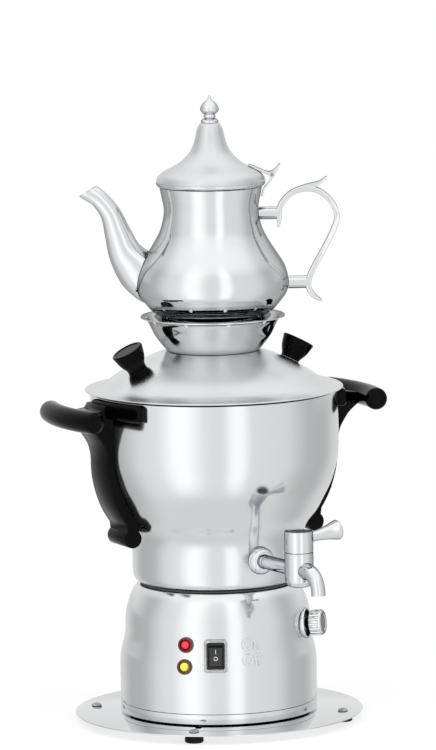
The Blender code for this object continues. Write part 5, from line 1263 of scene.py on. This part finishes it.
def switch():
    """Clear splash frame, switch body and rocker with its two marks."""
    width, tall = FRAME_SIZE
    bottom = FRAME_RISE - FRAME_DEPTH
    frame_piece = slab("switch_splash_frame", width, tall, FRAME_CORNER, bottom, FRAME_RISE)
    place(rounded(frame_piece, FRAME_EDGE, 3, 50.0), SWITCH_PLACE)
    cut(frame_piece, jacket(BASE_WALL))
    case_width, case_tall = CASE_SIZE
    opening = block("opening", (case_width + GAP * 2.0, case_tall + GAP * 2.0, FRAME_OPENING_DEPTH), MIDDLE)
    cut(frame_piece, place(opening, SWITCH_PLACE))
    dress(frame_piece, "root", "clear_splash_frame", CLEAR, "switch_frame")

    body = rounded(slab("switch_case", *CASE_SIZE, CASE_CORNER, *CASE_LEVELS), CASE_EDGE, 2, 50.0)
    join(body, block("can", (*SWITCH_CAN, SWITCH_CAN_DEPTH), (0.0, 0.0, SWITCH_CAN_LEVEL)))
    pocket = (ROCKER_WIDTH + GAP * 2.0, ROCKER_HALF * 2.0 + POCKET_ROOM, POCKET_DEPTH)
    cut(body, block("pocket", pocket, (0.0, 0.0, POCKET_LEVEL)))
    dress(place(body, SWITCH_PLACE), "root", "black_nylon", NYLON, "switch_body")

    shares = smooth(ROCKER_DISH_SHARES, 5) + list(ROCKER_BACK_SHARES)
    side_view = [(x * ROCKER_HALF, z * ROCKER_RISE) for x, z in shares]
    rocker = rounded(strap("switch_rocker_moulding", side_view, ROCKER_WIDTH), ROCKER_EDGE, 2, 50.0)
    stand_up = Matrix.Rotation(math.pi / 2.0, 4, "Z")
    spot = SWITCH_PLACE @ move(0.0, 0.0, -ROCKER_DEPTH) @ Matrix.Rotation(ROCKER_TILT, 4, "X")
    place(rocker, spot @ stand_up)
    dress(rocker, "switch_rocker", "black_nylon", ROCKER, "switch_rocker")
    upper = spot @ move(*ON_MARK_PLACE) @ Matrix.Rotation(ON_MARK_LEAN, 4, "X")
    bar = place(block("rocker_on_mark", ON_MARK_SIZE, MIDDLE, MARK_HALF), upper)
    dress(bar, "switch_rocker", "white_ceramic", PRINT)
    lower = spot @ move(*OFF_MARK_PLACE) @ Matrix.Rotation(OFF_MARK_LEAN, 4, "X")
    outer, inner = OFF_MARK_RADII
    line = [(outer, MARK_HALF), (outer, -MARK_HALF), (inner, -MARK_HALF), (inner, MARK_HALF)]
    loop = place(turned("rocker_off_mark", line, SMALL, closed=True), lower)
    dress(loop, "switch_rocker", "white_ceramic", PRINT)


LENS_RADIUS = 0.0037
BEZEL_SKIRT = 0.0016
BARREL_TOP = 0.0012
BARREL_BOTTOM = -0.0100
LENS_BOTTOM = -0.0080


def lamps():
    """Bezels with their barrels, and the domed lenses in them."""
    finishes = {"red": ("dark_red_bezel", MAROON, "red_lens", RED),
                "amber": ("dark_brown_bezel", BROWN, "amber_lens", AMBER)}
    bore = LENS_RADIUS + GAP
    for colour, spot in LAMP_PLACES.items():
        bezel_slot, bezel_finish, lens_slot, lens_finish = finishes[colour]
        crown = smooth([(bore, BARREL_TOP), (bore + 0.0006, 0.0021), (LAMP_RADIUS * 0.80, 0.0026),
                        (LAMP_RADIUS * 0.95, 0.0020), (LAMP_RADIUS, 0.0010)], 5)
        line = crown + [(LAMP_RADIUS, -BEZEL_SKIRT), (bore, -BEZEL_SKIRT)]
        bezel = place(turned("lamp_%s_bezel_turned" % colour, line, ROUND, closed=True), spot)
        cut(bezel, jacket(BASE_WALL))
        line = [(LAMP_BARREL, BARREL_TOP), (LAMP_BARREL, BARREL_BOTTOM), (bore, BARREL_BOTTOM),
                (bore, BARREL_TOP)]
        join(bezel, place(turned("barrel", line, ROUND, closed=True), spot))
        dress(bezel, "root", bezel_slot, bezel_finish, "lamp_%s_bezel" % colour)
        dome = smooth([(0.0, 0.0034), (LENS_RADIUS * 0.45, 0.0032), (LENS_RADIUS * 0.82, 0.0024),
                       (LENS_RADIUS, 0.0010)], 5)
        line = dome + [(LENS_RADIUS, LENS_BOTTOM), (0.0, LENS_BOTTOM)]
        lens = place(turned("lamp_%s_lens_moulding" % colour, line, ROUND), spot)
        dress(lens, "root", lens_slot, lens_finish, "lamp_%s_lens" % colour)


FLANGE_THICK = 0.0040
FLANGE_RISE = 0.0004
CAN_DEPTH = 0.0212
CAN_LEVEL = -0.0094
WELL_WALL = 0.0018
WELL_FLOOR = -0.0170
WELL_DEPTH = 0.0224
INLET_EDGE = 0.0012
WELL_EDGE = 0.0010
BLADE_EDGE = 0.0003
BLADE_SIZE = (0.0020, 0.0040, 0.0145)
BLADE_PITCH = 0.0070
BLADE_STAGGER = 0.0020
BLADE_LEVEL = 0.00575


def inlet():
    """Mains inlet with its rounded flange, well and three blades."""
    size = (*INLET_SIZE, FLANGE_THICK)
    flange = place(block("mains_inlet_moulding", size, (0.0, 0.0, FLANGE_RISE), INLET_EDGE), INLET_PLACE)
    cut(flange, jacket(BASE_WALL))
    join(flange, place(block("can", (*INLET_CAN, CAN_DEPTH), (0.0, 0.0, CAN_LEVEL)), INLET_PLACE))
    size = (INLET_CAN[0] - WELL_WALL * 2.0, INLET_CAN[1] - WELL_WALL * 2.0, WELL_DEPTH)
    well = block("well", size, (0.0, 0.0, WELL_FLOOR + WELL_DEPTH / 2.0), WELL_EDGE, 2)
    cut(flange, place(well, INLET_PLACE))
    for step in (-1, 0, 1):
        centre = (BLADE_PITCH * step, BLADE_STAGGER * (1 - abs(step) * 2), WELL_FLOOR + BLADE_LEVEL)
        join(flange, place(block("blade", BLADE_SIZE, centre, BLADE_EDGE, 2), INLET_PLACE))
    dress(flange, "root", "black_nylon", NYLON, "power_inlet")


WORD_SIZE = 0.0126
WORD_RELIEF = 0.0008
WORDS = (("On", 0.0754), ("Off", 0.0628))


def words():
    """The raised words beside the switch, bent round the base wall."""
    for word, level in WORDS:
        bpy.ops.object.select_all(action="DESELECT")
        bpy.ops.object.text_add()
        text = bpy.context.active_object
        text.data.body = word
        text.data.size = WORD_SIZE
        text.data.extrude = WORD_RELIEF
        text.data.bevel_depth = WORD_RELIEF * 0.6
        text.data.bevel_resolution = 2
        text.data.resolution_u = 6
        bpy.ops.object.convert(target="MESH")
        piece = named("word_" + word.lower())
        for vertex in piece.data.vertices:
            x, y, z = vertex.co
            height = level - WORD_SIZE * 0.35 + y
            reach = radius_at(BASE_LINE, height) + z
            side = math.radians(WORD_SIDE) + x / BASE_RADIUS
            vertex.co = (math.sin(side) * reach, AXIS_PLACE.y - math.cos(side) * reach, height)
        dress(piece, "root", "satin_stainless_steel", SATIN)


def aimed(name, data, side, rise, distance, level, roll=0.0):
    """Put a camera or a lamp at its angles and distance, turned to a point of the axis."""
    away = Vector((math.sin(side) * math.cos(rise), -math.cos(side) * math.cos(rise), math.sin(rise)))
    holder = bpy.data.objects.new(name, data)
    bpy.context.scene.collection.objects.link(holder)
    turn = away.to_track_quat("Z", "Y").to_matrix().to_4x4() @ Matrix.Rotation(-roll, 4, "Z")
    target = Vector((0.0, AXIS_PLACE.y, level))
    holder.matrix_world = Matrix.Translation(target + away * distance) @ turn
    return holder


def camera():
    """Camera at the photograph's angle, with its slight roll."""
    data = bpy.data.cameras.new("camera")
    data.sensor_fit = "VERTICAL"
    data.sensor_height = 36.0
    data.lens = 288.0
    data.shift_x = CAMERA_SHIFT
    data.clip_end = 50.0
    bpy.context.scene.camera = aimed(
        "camera", data, CAMERA_SIDE, CAMERA_RISE, CAMERA_DISTANCE, CAMERA_TARGET, CAMERA_ROLL)


def lamp(name, side, rise, distance, width):
    """Large square lamp that faces the samovar and shows only in the floor and the matt pieces."""
    data = bpy.data.lights.new(name, "AREA")
    data.size = width
    data.energy = LAMP_POWER
    aimed(name, data, math.radians(side), math.radians(rise), distance, LAMP_TARGET).visible_glossy = False


def soft_bands(tree, value, bands):
    """Sum of smooth bumps, each with a centre, a flat half width, a fade and a strength."""
    total = 0.0
    for centre, half, fade, strength in bands:
        away = add_node(tree, "Math", {0: value, 1: centre}, operation="SUBTRACT")
        away = add_node(tree, "Math", {0: away}, operation="ABSOLUTE")
        bump = add_node(tree, "MapRange", {
            "Value": away, "From Min": half, "From Max": half + fade, "To Min": strength, "To Max": 0.0},
            interpolation_type="SMOOTHSTEP")
        total = add_node(tree, "Math", {0: total, 1: bump}, operation="ADD")
    return total


# Soft bands of the mirrored room: centre, half width and fade in degrees, and strength
WALL_BANDS = ((-45.0, 4.0, 42.0, 0.08), (-112.0, 8.0, 34.0, -0.26), (108.0, 8.0, 34.0, -0.24))
STRIP_BANDS = ((-31.0, 2.0, 26.0, 0.34), (21.0, 3.0, 12.0, 0.36))
STRIP_HEIGHT = ((0.0, 30.0, 34.0, 1.0),)
WALL_LEVEL = 0.88
FRONT_GAIN = 0.10
BACK_LEVEL = 0.89
# Where one level of the room gives way to the next: rise in degrees, and how far round to the back
BACK_RISE = (-2.0, 6.0)
BACK_TURN = (-0.75, -0.2)
CEILING_RISE = (20.0, 62.0)
GROUND_RISE = (-34.0, -62.0)
CEILING_LEVEL = 1.24
GROUND_LEVEL = 0.86


def mirrored_room(tree):
    """What metal sees: a white tent with two soft strips in front and dimmer sides."""
    view = add_node(tree, "TexCoord").outputs["Generated"]
    parts = add_node(tree, "SeparateXYZ", {"Vector": view})
    towards = add_node(tree, "VectorMath", {
        0: view, 1: (math.sin(CAMERA_SIDE), -math.cos(CAMERA_SIDE), 0.0)}, operation="DOT_PRODUCT")
    right = add_node(tree, "VectorMath", {
        0: view, 1: (math.cos(CAMERA_SIDE), math.sin(CAMERA_SIDE), 0.0)}, operation="DOT_PRODUCT")
    radians = add_node(tree, "Math", {0: right.outputs["Value"], 1: towards.outputs["Value"]},
                       operation="ARCTAN2")
    side = add_node(tree, "Math", {0: radians}, operation="DEGREES")
    lift = add_node(tree, "Math", {0: parts.outputs["Z"]}, operation="ARCSINE")
    rise = add_node(tree, "Math", {0: lift}, operation="DEGREES")
    front = add_node(tree, "Math", {0: radians}, operation="COSINE")
    wall = add_node(tree, "Math", {0: front, 1: FRONT_GAIN, 2: WALL_LEVEL}, operation="MULTIPLY_ADD")
    wall = add_node(tree, "Math", {0: wall, 1: soft_bands(tree, side, WALL_BANDS)}, operation="ADD")
    back = add_node(tree, "MapRange", {
        "Value": rise, "From Min": BACK_RISE[0], "From Max": BACK_RISE[1],
        "To Min": wall, "To Max": BACK_LEVEL},
        interpolation_type="SMOOTHSTEP")
    round_about = add_node(tree, "MapRange", {
        "Value": front, "From Min": BACK_TURN[0], "From Max": BACK_TURN[1],
        "To Min": back, "To Max": wall})
    high = add_node(tree, "MapRange", {
        "Value": rise, "From Min": CEILING_RISE[0], "From Max": CEILING_RISE[1],
        "To Min": round_about, "To Max": CEILING_LEVEL},
        interpolation_type="SMOOTHSTEP")
    lit = add_node(tree, "Math", {
        0: soft_bands(tree, side, STRIP_BANDS), 1: soft_bands(tree, rise, STRIP_HEIGHT), 2: high},
        operation="MULTIPLY_ADD")
    return add_node(tree, "MapRange", {
        "Value": rise, "From Min": GROUND_RISE[0], "From Max": GROUND_RISE[1],
        "To Min": lit, "To Max": GROUND_LEVEL},
        interpolation_type="SMOOTHSTEP")


def surround():
    """World that is white to the camera, a room to metal and even light to the rest."""
    world = bpy.data.worlds.new("studio")
    bpy.context.scene.world = world
    world.use_nodes = True
    tree = world.node_tree
    tree.nodes.clear()
    path = add_node(tree, "LightPath")
    seen = add_node(tree, "Math", {
        0: path.outputs["Is Camera Ray"], 1: path.outputs["Is Transmission Ray"]}, operation="MAXIMUM")
    shown = add_node(tree, "Background", {"Color": WHITE, "Strength": 1.0})
    mirrored = add_node(tree, "Background", {"Color": WHITE, "Strength": mirrored_room(tree)})
    lit = add_node(tree, "Background", {"Color": WHITE, "Strength": LIGHT_LEVEL})
    glossy = add_node(tree, "MixShader", {0: path.outputs["Is Glossy Ray"], 1: lit, 2: mirrored})
    both = add_node(tree, "MixShader", {0: seen, 1: glossy, 2: shown})
    add_node(tree, "OutputWorld", {"Surface": both})


FLOOR_RADIUS = 6.0
FLOOR_PAINT = (0.95, 0.95, 0.95, 1.0)
SHADOW_REACH = (0.14, 0.42)
SHADOW_WHITE = 0.72


def studio_floor():
    """Pale floor that keeps a faint shadow near the feet, fades to white and isn't mirrored."""
    paint = bpy.data.materials.new("studio_floor")
    paint.use_nodes = True
    tree = paint.node_tree
    tree.nodes.clear()
    path = add_node(tree, "LightPath")
    plain = add_node(tree, "BsdfDiffuse", {"Color": FLOOR_PAINT})
    bright = add_node(tree, "Emission", {"Color": WHITE, "Strength": 1.0})
    clear = add_node(tree, "BsdfTransparent")
    spot = add_node(tree, "TexCoord")
    reach = add_node(tree, "VectorMath", {0: spot.outputs["Object"]}, operation="LENGTH")
    near = add_node(tree, "MapRange", {
        "Value": reach.outputs["Value"], "From Min": SHADOW_REACH[0], "From Max": SHADOW_REACH[1],
        "To Min": SHADOW_WHITE, "To Max": 1.0},
        interpolation_type="SMOOTHSTEP")
    share = add_node(tree, "Math", {0: near, 1: path.outputs["Is Camera Ray"]}, operation="MULTIPLY")
    mixed = add_node(tree, "MixShader", {0: share, 1: plain, 2: bright})
    mixed = add_node(tree, "MixShader", {0: path.outputs["Is Glossy Ray"], 1: mixed, 2: clear})
    add_node(tree, "OutputMaterial", {"Surface": mixed})
    bpy.ops.object.select_all(action="DESELECT")
    bpy.ops.mesh.primitive_circle_add(vertices=64, radius=FLOOR_RADIUS, fill_type="NGON")
    floor = bpy.context.active_object
    floor.name = "studio_floor"
    floor.data.materials.append(paint)


camera()
foot_plate()
feet()
base()
vessel()
lid()
lid_knobs()
stand()
teapot()
hinge()
teapot_lid()
tap()
side_handles()
thermostat()
switch()
lamps()
inlet()
words()
surround()
studio_floor()
lamp("lamp_left", -70.0, 40.0, 2.4, 1.4)
lamp("lamp_right", 20.0, 40.0, 2.4, 1.4)
lamp("lamp_top", -31.0, 86.0, 2.2, 2.0)
bpy.context.scene.view_settings.view_transform = "Standard"
